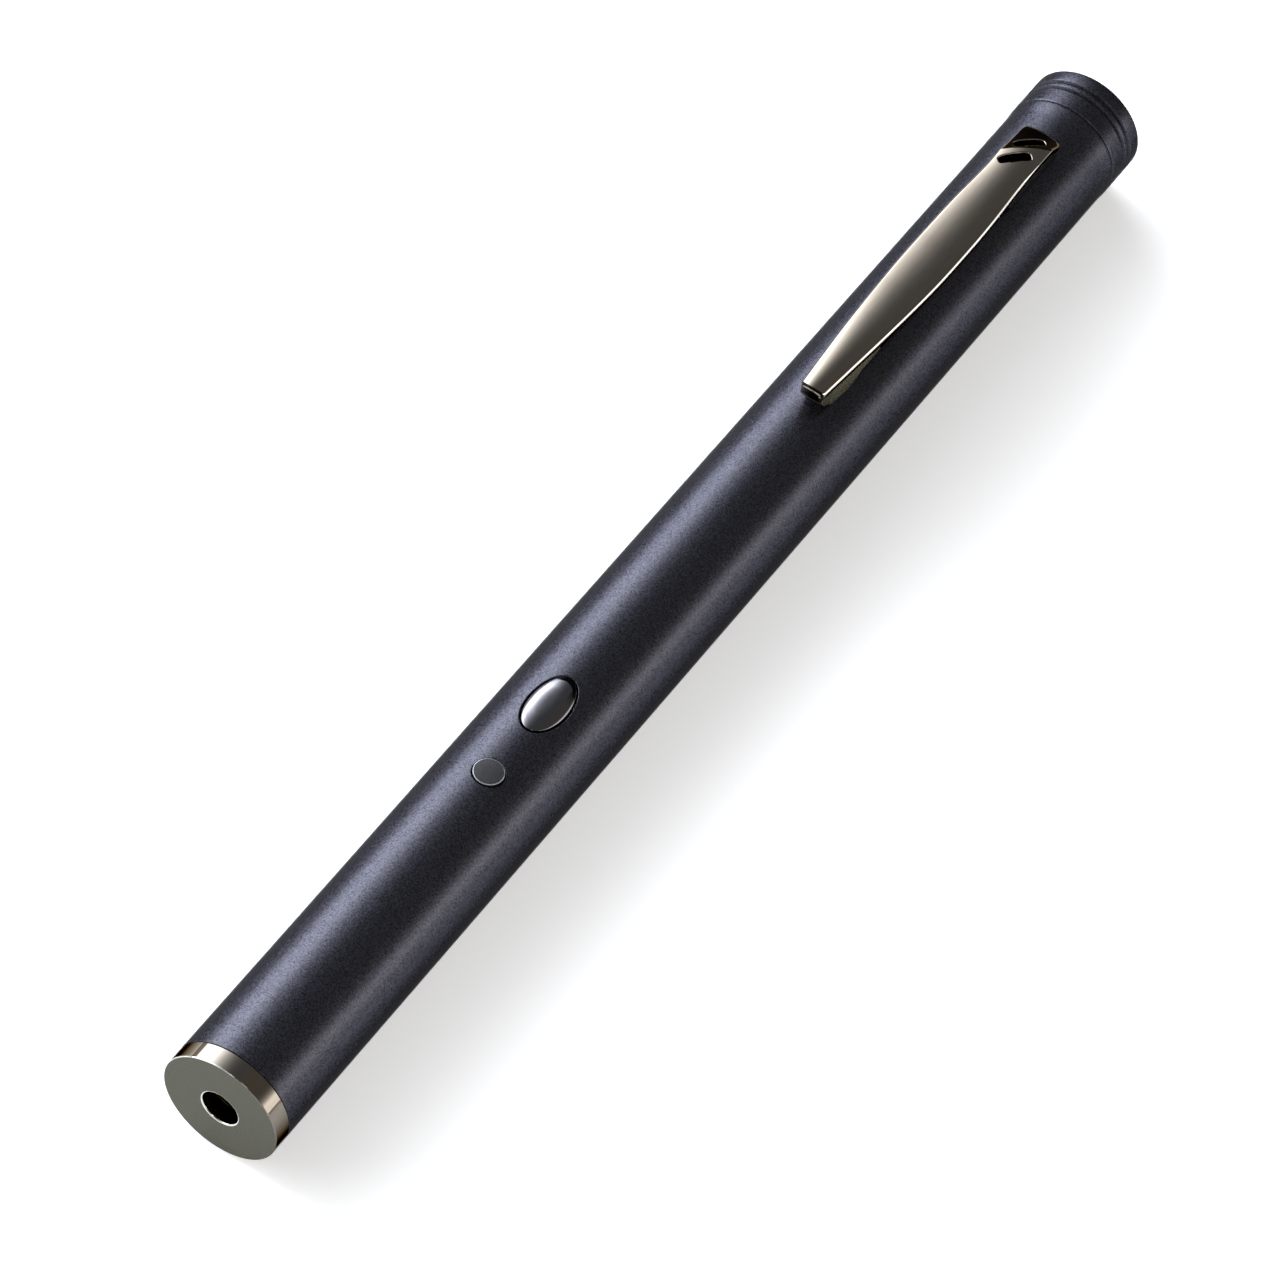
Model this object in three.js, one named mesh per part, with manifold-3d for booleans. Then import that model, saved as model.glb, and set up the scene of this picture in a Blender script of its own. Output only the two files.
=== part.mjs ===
// A pen-shaped laser pointer: a metal barrel on two small cells in line, with a press button,
// an indicator window, a pocket clip, a polished nose ring and a tail cap that unscrews.
// Millimetres. +X points the way the beam leaves, +Z up through the button and the clip.
// The origin lies on the surface under the barrel, half way along.
// Places along the barrel are counted back from the flat front face of the nose ring.

import * as THREE from "three";
import { mergeVertices } from "three/addons/utils/BufferGeometryUtils.js";
import Module from "manifold-3d";

// Counts and facets
const cellCount = 2;
const wideFacets = 49; // odd, so that the pointer lies on a flat and not on an edge
const middleFacets = 32;
const smallFacets = 20;
const domeSteps = 5;
const springSides = 5;
const springSteps = 8;

// Clearances
const contactGap = 0.1;
const slideGap = 0.12;
const seatGap = 0.1;
const threadGap = 0.15;
const seamGap = 0.08;
const overrun = 1;
const weld = 0.0005;

// Cells
const cellDiameter = 10.5;
const cellLength = 44.5;
const cellEdgeRadius = 0.35;
const cellSide = 0.25;
const terminalDiameter = 3.8;
const terminalHeight = 1;

// Barrel
const barrelWall = 1;
const flareLength = 2;
const flareRise = 0.1;

// Nose ring
const noseRingLength = 2.1;
const noseChamfer = 0.15;
const noseFaceThickness = 1.9;
const apertureDiameter = 4.1;
const noseSpigotLength = 5;
const moduleFrontGap = 0.3;

// Laser module
const moduleLength = 18;
const moduleWall = 0.95;
const moduleStepLength = 4;
const diodeFlangeDiameter = 5.6;
const diodeFlangeThickness = 1.2;
const diodeCanDiameter = 3.6;
const diodeCanLength = 2.4;
const diodeCanGap = 0.4;
const diodePocketLength = 1.9;
const pinDiameter = 0.45;
const pinLength = 5.2;
const pinSpread = 1.8;
const lensRingRecess = 0.7;
const lensRingLength = 1.5;
const lensRingWall = 1.05;
const lensEdge = 1;
const lensBulge = 1.1;
const lensSpringWire = 0.45;
const lensSpringTurns = 5;
const holderWall = 0.75;
const holderLength = 6;
const holderFromRear = 1.4;

// Button and its hole
const buttonFromNose = 54.4;
const buttonHoleLength = 8;
const buttonHoleWidth = 4.5;
const buttonDomeRise = 0.45;
const buttonRimDrop = 0.3;
const buttonFlangeMargin = 0.45;
const buttonFlangeThickness = 0.5;
const buttonStemDiameter = 3;
const buttonStemLength = 0.6;

// Indicator window and its light
const indicatorToButton = 10.55;
const windowHoleDiameter = 3.36;
const windowProud = 0.14;
const windowEdgeRadius = 0.22;
const windowFlangeMargin = 0.45;
const windowFlangeThickness = 0.6;
const windowStemDiameter = 2.2;
const ledLength = 2;
const ledWidth = 1.3;
const ledHeight = 0.8;
const ledToWindow = 0.3;

// Driver board, its carrier and what is soldered to it
const boardThickness = 1;
const railRise = 0.7;
const railCover = 0.5;
const carrierSide = 0.7;
const carrierFloor = 0.9;
const carrierFrontWall = 1.2;
const carrierRearWall = 1.5;
const moduleToCarrier = 2;
const buttonToRearWall = 1.4;
const pinHoleMargin = 0.7;
const chipLength = 5;
const chipWidth = 4;
const chipHeight = 1.5;
const trimmerSide = 3;
const trimmerHeight = 1.2;
const trimmerScrewDiameter = 2.2;
const trimmerScrewHeight = 0.4;
const capacitorLength = 3.4;
const capacitorWidth = 2.8;
const capacitorHeight = 1.9;
const resistorLength = 1.6;
const resistorWidth = 0.9;
const resistorHeight = 0.5;
const resistorOffset = 2.4;
const groundStripLength = 4;
const groundStripWidth = 2.4;
const groundStripThickness = 0.3;
const switchSide = 4.5;
const switchHeight = 2.5;
const switchWellDepth = 1.4;
const plungerDiameter = 2.3;
const plungerProud = 0.75;
const plungerSink = 0.6;

// Contacts and tail
const plateThickness = 0.4;
const plateDiameter = 6;
const lugWidth = 2;
const lugReach = 1.6;
const spigotToCell = 0.4;
const spigotWall = 0.75;
const threadPitch = 0.75;
const threadDepth = 0.3;
const tailSpringLength = 5.6;
const tailSpringWire = 0.7;
const tailSpringTurns = 3.5;
const tailSpringTip = 4.4;
const tailCapLength = 5.58;
const tailCapFloor = 2.8;
const tailGrooveFromEnd = 2.13;
const tailGroovePitch = 1;
const tailGrooveWidth = 0.4;
const tailGrooveDepth = 0.25;
const tailEdgeRadius = 0.25;

// Pocket clip
const clipLength = 47.3;
const clipWidth = 5.26;
const clipRise = 3.5;
const clipCrown = 0.3;
const clipEdge = 0.12;
const clipPlate = 0.85;
const clipLip = 0.1;
const clipInset = 0.15;
const clipHeelToSeam = 6.07;
const tangLength = 3;
const tangWidth = 2.4;
const tangDepth = 0.7;
const tangFromHeel = 0.5;
const tangGap = 0.3;
const slotLength = 4;
const slotWidth = 0.95;
const slotArch = 0.15;
const slotDepth = 1.6;
const slotSide = 0.2;
const slotsFromHeel = 6.04;
const slotPitch = 3.05;
const slotTilt = THREE.MathUtils.degToRad(47);

// The clip's rows, heel first: how far along its length, then shares of its width, of the rise of its
// edge over the barrel, of the drop of the nose's keel to the barrel, and of the foot's.
const clipRowShares = [
  [0, 0.64, 0.33, 0, 1],
  [0.004, 0.74, 0.385, 0, 1],
  [0.012, 0.82, 0.43, 0, 1],
  [0.025, 0.845, 0.485, 0, 1],
  [0.046, 0.84, 0.577, 0, 1],
  [0.072, 0.835, 0.677, 0, 1],
  [0.095, 0.83, 0.743, 0, 1],
  [0.116, 0.83, 0.769, 0, 1],
  [0.145, 0.838, 0.774, 0, 1],
  [0.2, 0.868, 0.773, 0, 1],
  [0.215, 0.878, 0.772, 0, 0.75],
  [0.232, 0.892, 0.772, 0, 0.3],
  [0.25, 0.91, 0.771, 0, 0.08],
  [0.27, 0.928, 0.771, 0, 0],
  [0.32, 0.968, 0.768, 0, 0],
  [0.38, 0.992, 0.766, 0, 0],
  [0.43, 0.998, 0.77, 0, 0],
  [0.48, 1, 0.783, 0, 0],
  [0.535, 0.993, 0.798, 0, 0],
  [0.6, 0.962, 0.824, 0, 0],
  [0.66, 0.918, 0.861, 0, 0],
  [0.725, 0.858, 0.901, 0.06, 0],
  [0.778, 0.805, 0.934, 0.25, 0],
  [0.815, 0.762, 0.955, 0.43, 0],
  [0.838, 0.733, 0.966, 0.54, 0],
  [0.853, 0.714, 0.972, 0.74, 0],
  [0.865, 0.699, 0.977, 0.9, 0],
  [0.877, 0.683, 0.981, 1, 0],
  [0.932, 0.612, 0.995, 1, 0],
  [0.945, 0.595, 0.998, 0.93, 0],
  [0.96, 0.574, 1, 0.74, 0],
  [0.976, 0.548, 1, 0.62, 0],
  [0.989, 0.506, 0.99, 0.53, 0],
  [0.996, 0.44, 0.975, 0.5, 0],
  [1, 0.35, 0.95, 0.48, 0],
];
const crownShares = [0, 0.35, 0.65, 0.88];

// Shares of the free board between its front end and the light, where these parts sit
const groundPlaceShare = 0.16;
const trimmerPlaceShare = 0.44;
const chipPlaceShare = 0.74;
const resistorPlaceShare = 0.96;

// Radii of the barrel and of what fits its bore
const boreRadius = cellDiameter / 2 + cellSide;
const barrelRadius = boreRadius + barrelWall;
const tailRadius = barrelRadius + flareRise;
const boreFitRadius = boreRadius - threadGap;
const moduleSeatRadius = boreFitRadius - holderWall;
const moduleRadius = moduleSeatRadius - seatGap;
const moduleBoreRadius = moduleRadius - moduleWall;
const moduleStepRadius = diodeCanDiameter / 2 + diodeCanGap;
const lensRadius = moduleBoreRadius - seatGap;

// Places along the barrel, counted back from the front face
const moduleFront = noseFaceThickness + moduleFrontGap;
const moduleRear = moduleFront + moduleLength;
const carrierFront = moduleRear + moduleToCarrier;
const buttonHalfLength = buttonHoleLength / 2 - slideGap;
const buttonHalfWidth = buttonHoleWidth / 2 - slideGap;
const flangeHalfLength = buttonHalfLength + buttonFlangeMargin;
const flangeHalfWidth = buttonHalfWidth + buttonFlangeMargin;
const carrierRearInside = buttonFromNose + flangeHalfLength + buttonToRearWall;
const carrierRear = carrierRearInside + carrierRearWall;
const plateFront = carrierRear + contactGap;
const plateRear = plateFront + plateThickness;
const firstCellFront = plateRear + contactGap;
const cellStep = cellLength + contactGap;
const cellsRear = firstCellFront + cellCount * cellStep;
const tailSpringRear = cellsRear + tailSpringLength;
const tailPlateFront = tailSpringRear + contactGap;
const tailFloorFront = tailPlateFront + plateThickness + contactGap;
const overallLength = tailFloorFront + tailCapFloor;
const seam = overallLength - tailCapLength;
const spigotFront = cellsRear + spigotToCell;
const indicatorFromNose = buttonFromNose - indicatorToButton;
const clipHeel = seam - clipHeelToSeam;

// Heights over the barrel's axis. The button sets the height of the switch, and so of the board.
const flangeTop = Math.sqrt(boreRadius ** 2 - flangeHalfWidth ** 2) - slideGap;
const flangeBottom = flangeTop - buttonFlangeThickness;
const windowRadius = windowHoleDiameter / 2 - seamGap;
const windowFlangeRadius = windowRadius + windowFlangeMargin;
const windowFlangeTop = Math.sqrt(boreRadius ** 2 - windowFlangeRadius ** 2) - seatGap;
const windowFlangeBottom = windowFlangeTop - windowFlangeThickness;
const buttonRim = Math.sqrt(barrelRadius ** 2 - buttonHalfWidth ** 2) - buttonRimDrop / 2;
const plungerTop = flangeBottom - buttonStemLength;
const switchTop = plungerTop - plungerProud;
const boardTop = switchTop - switchHeight;
const boardBottom = boardTop - boardThickness;
const pinAbove = boardTop + contactGap + pinDiameter / 2;
const pinBelow = boardBottom - contactGap - pinDiameter / 2;

// The clip rests a seat's gap over the barrel. The slots are sunk from the highest row of its foot.
const clipCrest = barrelRadius + seatGap;
const footRows = clipRowShares.filter((row) => row.at(-1) === 1);
const footTop = clipCrest + clipCrown + clipRise * Math.max(...footRows.map((row) => row[2]));

const wasm = await Module();
wasm.setup();

// A closed geometry as a solid that can be joined and cut.
function solidOf(geometry) {
  const bare = new THREE.BufferGeometry();
  bare.setAttribute("position", geometry.getAttribute("position").clone());
  bare.setIndex(geometry.index ? geometry.index.clone() : null);
  const merged = mergeVertices(bare, weld);
  const triVerts = new Uint32Array(merged.index.array);
  const vertProperties = merged.getAttribute("position").array;
  return new wasm.Manifold(new wasm.Mesh({ numProp: 3, vertProperties, triVerts }));
}

// The solid's surface as a geometry again.
function geometryOf(solid) {
  const mesh = solid.getMesh();
  const geometry = new THREE.BufferGeometry();
  geometry.setAttribute("position", new THREE.BufferAttribute(mesh.vertProperties, mesh.numProp));
  geometry.setIndex(new THREE.BufferAttribute(mesh.triVerts, 1));
  geometry.computeVertexNormals();
  return geometry;
}

function cut(geometry, ...tools) {
  return geometryOf(tools.reduce((solid, tool) => solid.subtract(solidOf(tool)), solidOf(geometry)));
}

function join(geometry, ...others) {
  return geometryOf(others.reduce((solid, other) => solid.add(solidOf(other)), solidOf(geometry)));
}

// A body turned on the barrel's axis. Its outline is a list of [radius, place behind the front face],
// in either sense of rotation; an outline that misses the axis is closed on itself.
function turned(outline, facets) {
  const points = outline.map(([radius, place]) => new THREE.Vector2(radius, -place));
  const onAxis = points[0].x === 0 && points.at(-1).x === 0;
  if (THREE.ShapeUtils.area(points) < 0) points.reverse();
  if (!onAxis) points.push(points[0].clone());
  return new THREE.LatheGeometry(points, facets).rotateZ(-Math.PI / 2);
}

// A plain rod, or a tube with a bore, between two places on the axis.
function rod(radius, front, rear, facets, bore = 0) {
  const outline = [[bore, front], [radius, front], [radius, rear], [bore, rear]];
  return turned(outline, facets);
}

// A block centred on a place along the barrel, from one height to another.
function block(place, side, low, high, length, width) {
  const geometry = new THREE.BoxGeometry(length, width, high - low);
  return geometry.translate(-place, side, (low + high) / 2);
}

// A closed skin over equal rings of points, each an array of Vector3, with both ends closed.
function loft(rings) {
  const count = rings[0].length;
  const middle = (ring) => {
    const sum = ring.reduce((total, point) => total.add(point), new THREE.Vector3());
    return sum.divideScalar(count);
  };
  const points = [...rings.flat(), middle(rings[0]), middle(rings.at(-1))];
  const firstMiddle = points.length - 2;
  const lastMiddle = points.length - 1;
  const lastRing = (rings.length - 1) * count;
  const index = [];
  for (let side = 0; side < count; side += 1) {
    const next = (side + 1) % count;
    index.push(firstMiddle, next, side);
    index.push(lastMiddle, lastRing + side, lastRing + next);
    for (let row = 0; row < rings.length - 1; row += 1) {
      const here = row * count;
      const there = here + count;
      index.push(here + side, here + next, there + side);
      index.push(there + side, here + next, there + next);
    }
  }
  const geometry = new THREE.BufferGeometry().setFromPoints(points);
  geometry.setIndex(index);
  geometry.computeVertexNormals();
  return geometry;
}

// A body of level ellipses standing one over the other at a place along the barrel, lowest first.
// Each level is [half length, half width, height].
function ellipses(place, levels, facets) {
  const rings = levels.map(([halfLength, halfWidth, height]) =>
    Array.from({ length: facets }, (_, step) => {
      const turn = (2 * Math.PI * step) / facets;
      return new THREE.Vector3(Math.cos(turn) * halfLength - place, Math.sin(turn) * halfWidth, height);
    }),
  );
  return loft(rings);
}

// An upright round body at a place along the barrel.
function post(place, side, radius, low, high, facets) {
  const levels = [[radius, radius, low], [radius, radius, high]];
  return ellipses(place, levels, facets).translate(0, side, 0);
}

// A helical spring along the barrel's axis, as one unbroken wire between two places, whose coil
// radius runs evenly from one value to the other.
function springPath(front, rear, frontRadius, rearRadius, turns) {
  const steps = Math.round(turns * springSteps);
  return Array.from({ length: steps + 1 }, (_, step) => {
    const share = step / steps;
    const turn = 2 * Math.PI * turns * share;
    const radius = THREE.MathUtils.lerp(frontRadius, rearRadius, share);
    const place = THREE.MathUtils.lerp(front, rear, share);
    return new THREE.Vector3(-place, Math.cos(turn) * radius, Math.sin(turn) * radius);
  });
}

function spring(path, wire) {
  const rings = path.map((point) => {
    const outward = new THREE.Vector3(0, point.y, point.z).normalize();
    return Array.from({ length: springSides }, (_, side) => {
      const turn = (2 * Math.PI * side) / springSides;
      const offset = outward.clone().multiplyScalar(Math.cos(turn) * wire);
      offset.x = -Math.sin(turn) * wire;
      return point.clone().addScaledVector(offset, 1 / 2);
    });
  });
  return loft(rings);
}

// The least clear distance between a spring's neighbouring curls, read on its centre line.
function leastGap(path, wire) {
  let least = Infinity;
  path.forEach((point, step) => {
    path.slice(step + springSteps / 2 + 1).forEach((other) => {
      least = Math.min(least, point.distanceTo(other) - wire);
    });
  });
  return least;
}

const pieces = new THREE.Group();

function add(name, geometry, color, roughness, metalness, settings = {}) {
  const material = new THREE.MeshStandardMaterial({ color, roughness, metalness, ...settings });
  const mesh = new THREE.Mesh(geometry, material);
  mesh.name = name;
  pieces.add(mesh);
}

// Barrel, with the button's hole, the window's hole and the slot of the clip's tang
function barrel() {
  const front = noseRingLength + seamGap;
  const tube = turned(
    [
      [boreRadius, front],
      [barrelRadius, front],
      [barrelRadius, seam - flareLength],
      [tailRadius, seam],
      [boreRadius, seam],
    ],
    wideFacets,
  );
  const high = barrelRadius + overrun;
  const half = [buttonHoleLength / 2, buttonHoleWidth / 2];
  const buttonHole = ellipses(buttonFromNose, [[...half, 0], [...half, high]], middleFacets);
  const windowHole = post(indicatorFromNose, 0, windowHoleDiameter / 2, 0, high, middleFacets);
  const tangPlace = clipHeel - tangFromHeel - tangLength / 2;
  const tangHole = block(tangPlace, 0, 0, high, tangLength + 2 * tangGap, tangWidth + 2 * tangGap);
  return cut(tube, buttonHole, windowHole, tangHole);
}

// Nose ring: a polished ring with a flat face, the beam's hole and a spigot in the barrel
function noseRing() {
  const spigotRear = noseRingLength + noseSpigotLength;
  return turned(
    [
      [apertureDiameter / 2, 0],
      [barrelRadius - noseChamfer, 0],
      [barrelRadius, noseChamfer],
      [barrelRadius, noseRingLength],
      [boreFitRadius, noseRingLength],
      [boreFitRadius, spigotRear],
      [moduleSeatRadius, spigotRear],
      [moduleSeatRadius, noseFaceThickness],
      [apertureDiameter / 2, noseFaceThickness],
    ],
    wideFacets,
  );
}

// Laser module: a brass housing with a lens, its ring and spring in front and the diode behind
const diodeSeat = moduleRear - diodePocketLength;
const stepFront = diodeSeat - moduleStepLength;
const lensRingFront = moduleFront + lensRingRecess;
const lensFront = lensRingFront + lensRingLength + contactGap;
const lensRear = lensFront + lensEdge;
const lensSpringFront = lensRear + contactGap + lensSpringWire / 2;
const lensSpringRear = stepFront - contactGap - lensSpringWire / 2;

function moduleHousing() {
  return turned(
    [
      [moduleBoreRadius, moduleFront],
      [moduleRadius, moduleFront],
      [moduleRadius, moduleRear],
      [diodeFlangeDiameter / 2 + seatGap, moduleRear],
      [diodeFlangeDiameter / 2 + seatGap, diodeSeat],
      [moduleStepRadius, diodeSeat],
      [moduleStepRadius, stepFront],
      [moduleBoreRadius, stepFront],
    ],
    middleFacets,
  );
}

function lens() {
  const outline = [[0, lensFront], [lensRadius, lensFront], [lensRadius, lensRear]];
  for (let step = 1; step <= domeSteps; step += 1) {
    const turn = (Math.PI / 2) * (step / domeSteps);
    const inner = step === domeSteps ? 0 : Math.cos(turn) * (lensRadius - lensSpringWire - contactGap);
    outline.push([inner, lensRear + Math.sin(turn) * lensBulge]);
  }
  return turned(outline, middleFacets);
}

function diode() {
  const canFront = diodeSeat - diodeCanLength;
  const seat = diodeSeat + contactGap;
  const back = seat + diodeFlangeThickness;
  const body = turned(
    [
      [0, canFront],
      [diodeCanDiameter / 2, canFront],
      [diodeCanDiameter / 2, seat],
      [diodeFlangeDiameter / 2, seat],
      [diodeFlangeDiameter / 2, back],
      [0, back],
    ],
    middleFacets,
  );
  const places = [
    [pinSpread / 2, pinAbove],
    [-pinSpread / 2, pinAbove],
    [0, pinBelow],
  ];
  const pins = places.map(([side, height]) =>
    rod(pinDiameter / 2, back - diodeFlangeThickness / 2, back + pinLength, smallFacets)
      .translate(0, side, height),
  );
  return join(body, ...pins);
}

// The coil round the axis that presses the lens on its ring
const lensSpringRadius = lensRadius - lensSpringWire / 2;
const lensSpringPath = springPath(
  lensSpringFront,
  lensSpringRear,
  lensSpringRadius,
  lensSpringRadius,
  lensSpringTurns,
);

// Carrier: a half round plastic trough with two end walls and grooves that hold the board's edges
const boardFront = carrierFront + carrierFrontWall + seatGap;
const boardRear = carrierRearInside - seatGap;

function carrier() {
  const half = boreFitRadius - carrierSide;
  const trough = rod(boreFitRadius, carrierFront, carrierRear, wideFacets);
  const inside = [carrierFront + carrierFrontWall, carrierRearInside];
  const length = inside[1] - inside[0];
  const place = (inside[0] + inside[1]) / 2;
  const width = 2 * (boreFitRadius + overrun);
  const railTop = boardTop + railRise;
  const above = block(place, 0, railTop, boreFitRadius + overrun, length, width);
  const groove = block(place, 0, boardBottom - seatGap, boardTop + seatGap, length, 2 * half);
  const wellWidth = 2 * (half - railCover);
  const well = block(place, 0, carrierFloor - boreFitRadius, railTop + overrun, length, wellWidth);
  const round = rod(boreFitRadius - carrierFloor, inside[0], inside[1], wideFacets);
  const hollow = geometryOf(solidOf(well).intersect(solidOf(round)));
  const pinReach = Math.max(Math.hypot(pinSpread / 2, pinAbove), -pinBelow) + pinDiameter / 2;
  const pinHole = rod(pinReach + pinHoleMargin, carrierFront - overrun, boardFront, middleFacets);
  const lugHole = block(
    carrierRear - carrierRearWall / 2,
    0,
    boardTop,
    boardTop + plateThickness + 2 * seatGap,
    carrierRearWall + 2 * overrun,
    lugWidth + 2 * seatGap,
  );
  return cut(trough, above, groove, hollow, pinHole, lugHole);
}

// Positive contact: a plate on the carrier's rear wall, with a lug through it on to the board
function positiveContact() {
  const plate = rod(plateDiameter / 2, plateFront, plateRear, middleFacets);
  const lugFront = boardRear - lugReach;
  const low = boardTop + seatGap;
  const length = plateRear - lugFront - plateThickness / 2;
  const lug = block(lugFront + length / 2, 0, low, low + plateThickness, length, lugWidth);
  return join(plate, lug);
}

// Ground strip: a springy strip soldered to the board that bows up against the bore
function groundStrip(place) {
  const low = boardTop + seatGap;
  const high = Math.sqrt(boreRadius ** 2 - (groundStripWidth / 2) ** 2) - seatGap;
  const half = groundStripLength / 2;
  const foot = half - groundStripThickness;
  const shape = new THREE.Shape();
  shape.moveTo(-half, low);
  shape.lineTo(foot, low);
  shape.lineTo(foot, low + groundStripThickness);
  shape.lineTo(-half + groundStripThickness, low + groundStripThickness);
  shape.lineTo(-groundStripThickness, high - groundStripThickness);
  shape.lineTo(foot, high - groundStripThickness);
  shape.lineTo(half, (low + high) / 2);
  shape.lineTo(half + groundStripThickness, (low + high) / 2);
  shape.lineTo(half, high);
  shape.lineTo(-groundStripThickness, high);
  shape.lineTo(-half, low + groundStripThickness);
  const geometry = new THREE.ExtrudeGeometry(shape, { depth: groundStripWidth, bevelEnabled: false });
  return geometry.rotateX(Math.PI / 2).translate(-place, groundStripWidth / 2, 0);
}

// Window: a clear disc in the barrel's hole, held by its flange, with a stem that leads the light up
function indicatorWindow() {
  const top = barrelRadius + windowProud;
  const round = (radius, height) => [radius, radius, height];
  const levels = [
    round(windowStemDiameter / 2, boardTop + ledHeight + ledToWindow),
    round(windowStemDiameter / 2, windowFlangeBottom),
    round(windowFlangeRadius, windowFlangeBottom),
    round(windowFlangeRadius, windowFlangeTop),
    round(windowRadius, windowFlangeTop),
  ];
  for (let step = 0; step <= domeSteps; step += 1) {
    const turn = (Math.PI / 2) * (step / domeSteps);
    const radius = windowRadius - windowEdgeRadius * (1 - Math.cos(turn));
    levels.push(round(radius, top - windowEdgeRadius * (1 - Math.sin(turn))));
  }
  return ellipses(indicatorFromNose, levels, middleFacets);
}

// Button: an oval dome in the barrel's hole, kept in by the flange under the wall
function button() {
  const top = barrelRadius + buttonDomeRise;
  const stem = buttonStemDiameter / 2;
  const levels = [
    [stem, stem, plungerTop],
    [stem, stem, flangeBottom],
    [flangeHalfLength, flangeHalfWidth, flangeBottom],
    [flangeHalfLength, flangeHalfWidth, flangeTop],
    [buttonHalfLength, buttonHalfWidth, flangeTop],
  ];
  for (let step = 0; step < domeSteps; step += 1) {
    const turn = (Math.PI / 2) * (step / domeSteps);
    const scale = Math.cos(turn);
    const height = THREE.MathUtils.lerp(buttonRim, top, Math.sin(turn));
    levels.push([buttonHalfLength * scale, buttonHalfWidth * scale, height]);
  }
  return ellipses(buttonFromNose, levels, middleFacets);
}

// Switch under the button, with a well for its plunger
function switchBody() {
  const low = boardTop + seatGap;
  const body = block(buttonFromNose, 0, low, switchTop, switchSide, switchSide);
  const radius = plungerDiameter / 2 + slideGap;
  const well = post(buttonFromNose, 0, radius, switchTop - switchWellDepth, switchTop + overrun, smallFacets);
  return cut(body, well);
}

function trimmer(place) {
  const low = boardTop + seatGap;
  const middle = low + trimmerHeight;
  const body = block(place, 0, low, middle, trimmerSide, trimmerSide);
  const screw = post(
    place,
    0,
    trimmerScrewDiameter / 2,
    middle - trimmerScrewHeight,
    middle + trimmerScrewHeight,
    smallFacets,
  );
  return join(body, screw);
}

// A cell's jacketed can, without its terminal
function cellCan(front) {
  const radius = cellDiameter / 2;
  const low = front + terminalHeight + contactGap;
  const high = front + cellLength;
  return turned(
    [
      [0, low],
      [radius - cellEdgeRadius, low],
      [radius, low + cellEdgeRadius],
      [radius, high - cellEdgeRadius],
      [radius - cellEdgeRadius, high],
      [0, high],
    ],
    middleFacets,
  );
}

// Tail cap: a flared end with two fine grooves, and a threaded spigot that screws into the barrel
const spigotRadius = boreRadius - threadGap;
const spigotBore = spigotRadius - spigotWall;

function tailCap() {
  const front = seam + seamGap;
  const outline = [[spigotBore, tailFloorFront], [spigotBore, spigotFront]];
  const threads = Math.floor((seam - spigotFront) / threadPitch);
  for (let turn = 0; turn < threads; turn += 1) {
    const start = spigotFront + turn * threadPitch;
    outline.push([spigotRadius - threadDepth, start]);
    outline.push([spigotRadius, start + threadPitch / 2]);
  }
  const threadEnd = spigotFront + threads * threadPitch;
  outline.push([spigotRadius - threadDepth, threadEnd]);
  outline.push([spigotRadius - threadDepth, front]);
  outline.push([tailRadius, front]);
  const rearGroove = overallLength - tailGrooveFromEnd;
  for (const place of [rearGroove - tailGroovePitch, rearGroove]) {
    outline.push([tailRadius, place - tailGrooveWidth / 2]);
    outline.push([tailRadius - tailGrooveDepth, place]);
    outline.push([tailRadius, place + tailGrooveWidth / 2]);
  }
  for (let step = 0; step <= domeSteps; step += 1) {
    const turn = (Math.PI / 2) * (step / domeSteps);
    const radius = tailRadius - tailEdgeRadius * (1 - Math.cos(turn));
    outline.push([radius, overallLength - tailEdgeRadius * (1 - Math.sin(turn))]);
  }
  outline.push([0, overallLength]);
  outline.unshift([0, tailFloorFront]);
  return turned(outline, wideFacets);
}

const tailSpringPath = springPath(
  cellsRear + tailSpringWire / 2,
  tailSpringRear - tailSpringWire / 2,
  tailSpringTip / 2,
  spigotBore - contactGap - tailSpringWire,
  tailSpringTurns,
);

// One cross section of the clip, from the middle of its top round by the left and back by the right
function clipSection([along, widthShare, riseShare, keelShare, footShare]) {
  const x = along * clipLength - clipHeel;
  const half = (widthShare * clipWidth) / 2;
  const edge = clipCrest + riseShare * clipRise;
  const flat = half - clipEdge;
  const wall = half - clipInset;
  const plateUnder = edge - clipPlate;
  const footFloor = Math.sqrt(barrelRadius ** 2 - half ** 2) - overrun;
  const keelFloor = THREE.MathUtils.lerp(plateUnder - clipLip, clipCrest, keelShare);
  const under = THREE.MathUtils.lerp(Math.min(keelFloor, plateUnder - clipLip), footFloor, footShare);
  const right = crownShares.map((share) => [share * flat, edge + clipCrown * (1 - share ** 2)]);
  right.push([flat, edge]);
  right.push([half, edge - clipEdge]);
  right.push([half, plateUnder + clipEdge]);
  right.push([wall, plateUnder]);
  right.push([wall, under]);
  const left = right.map(([side, height]) => [-side, height]);
  const ring = [...left, ...right.slice(1).reverse()];
  return ring.map(([side, height]) => new THREE.Vector3(x, side, height));
}

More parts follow.
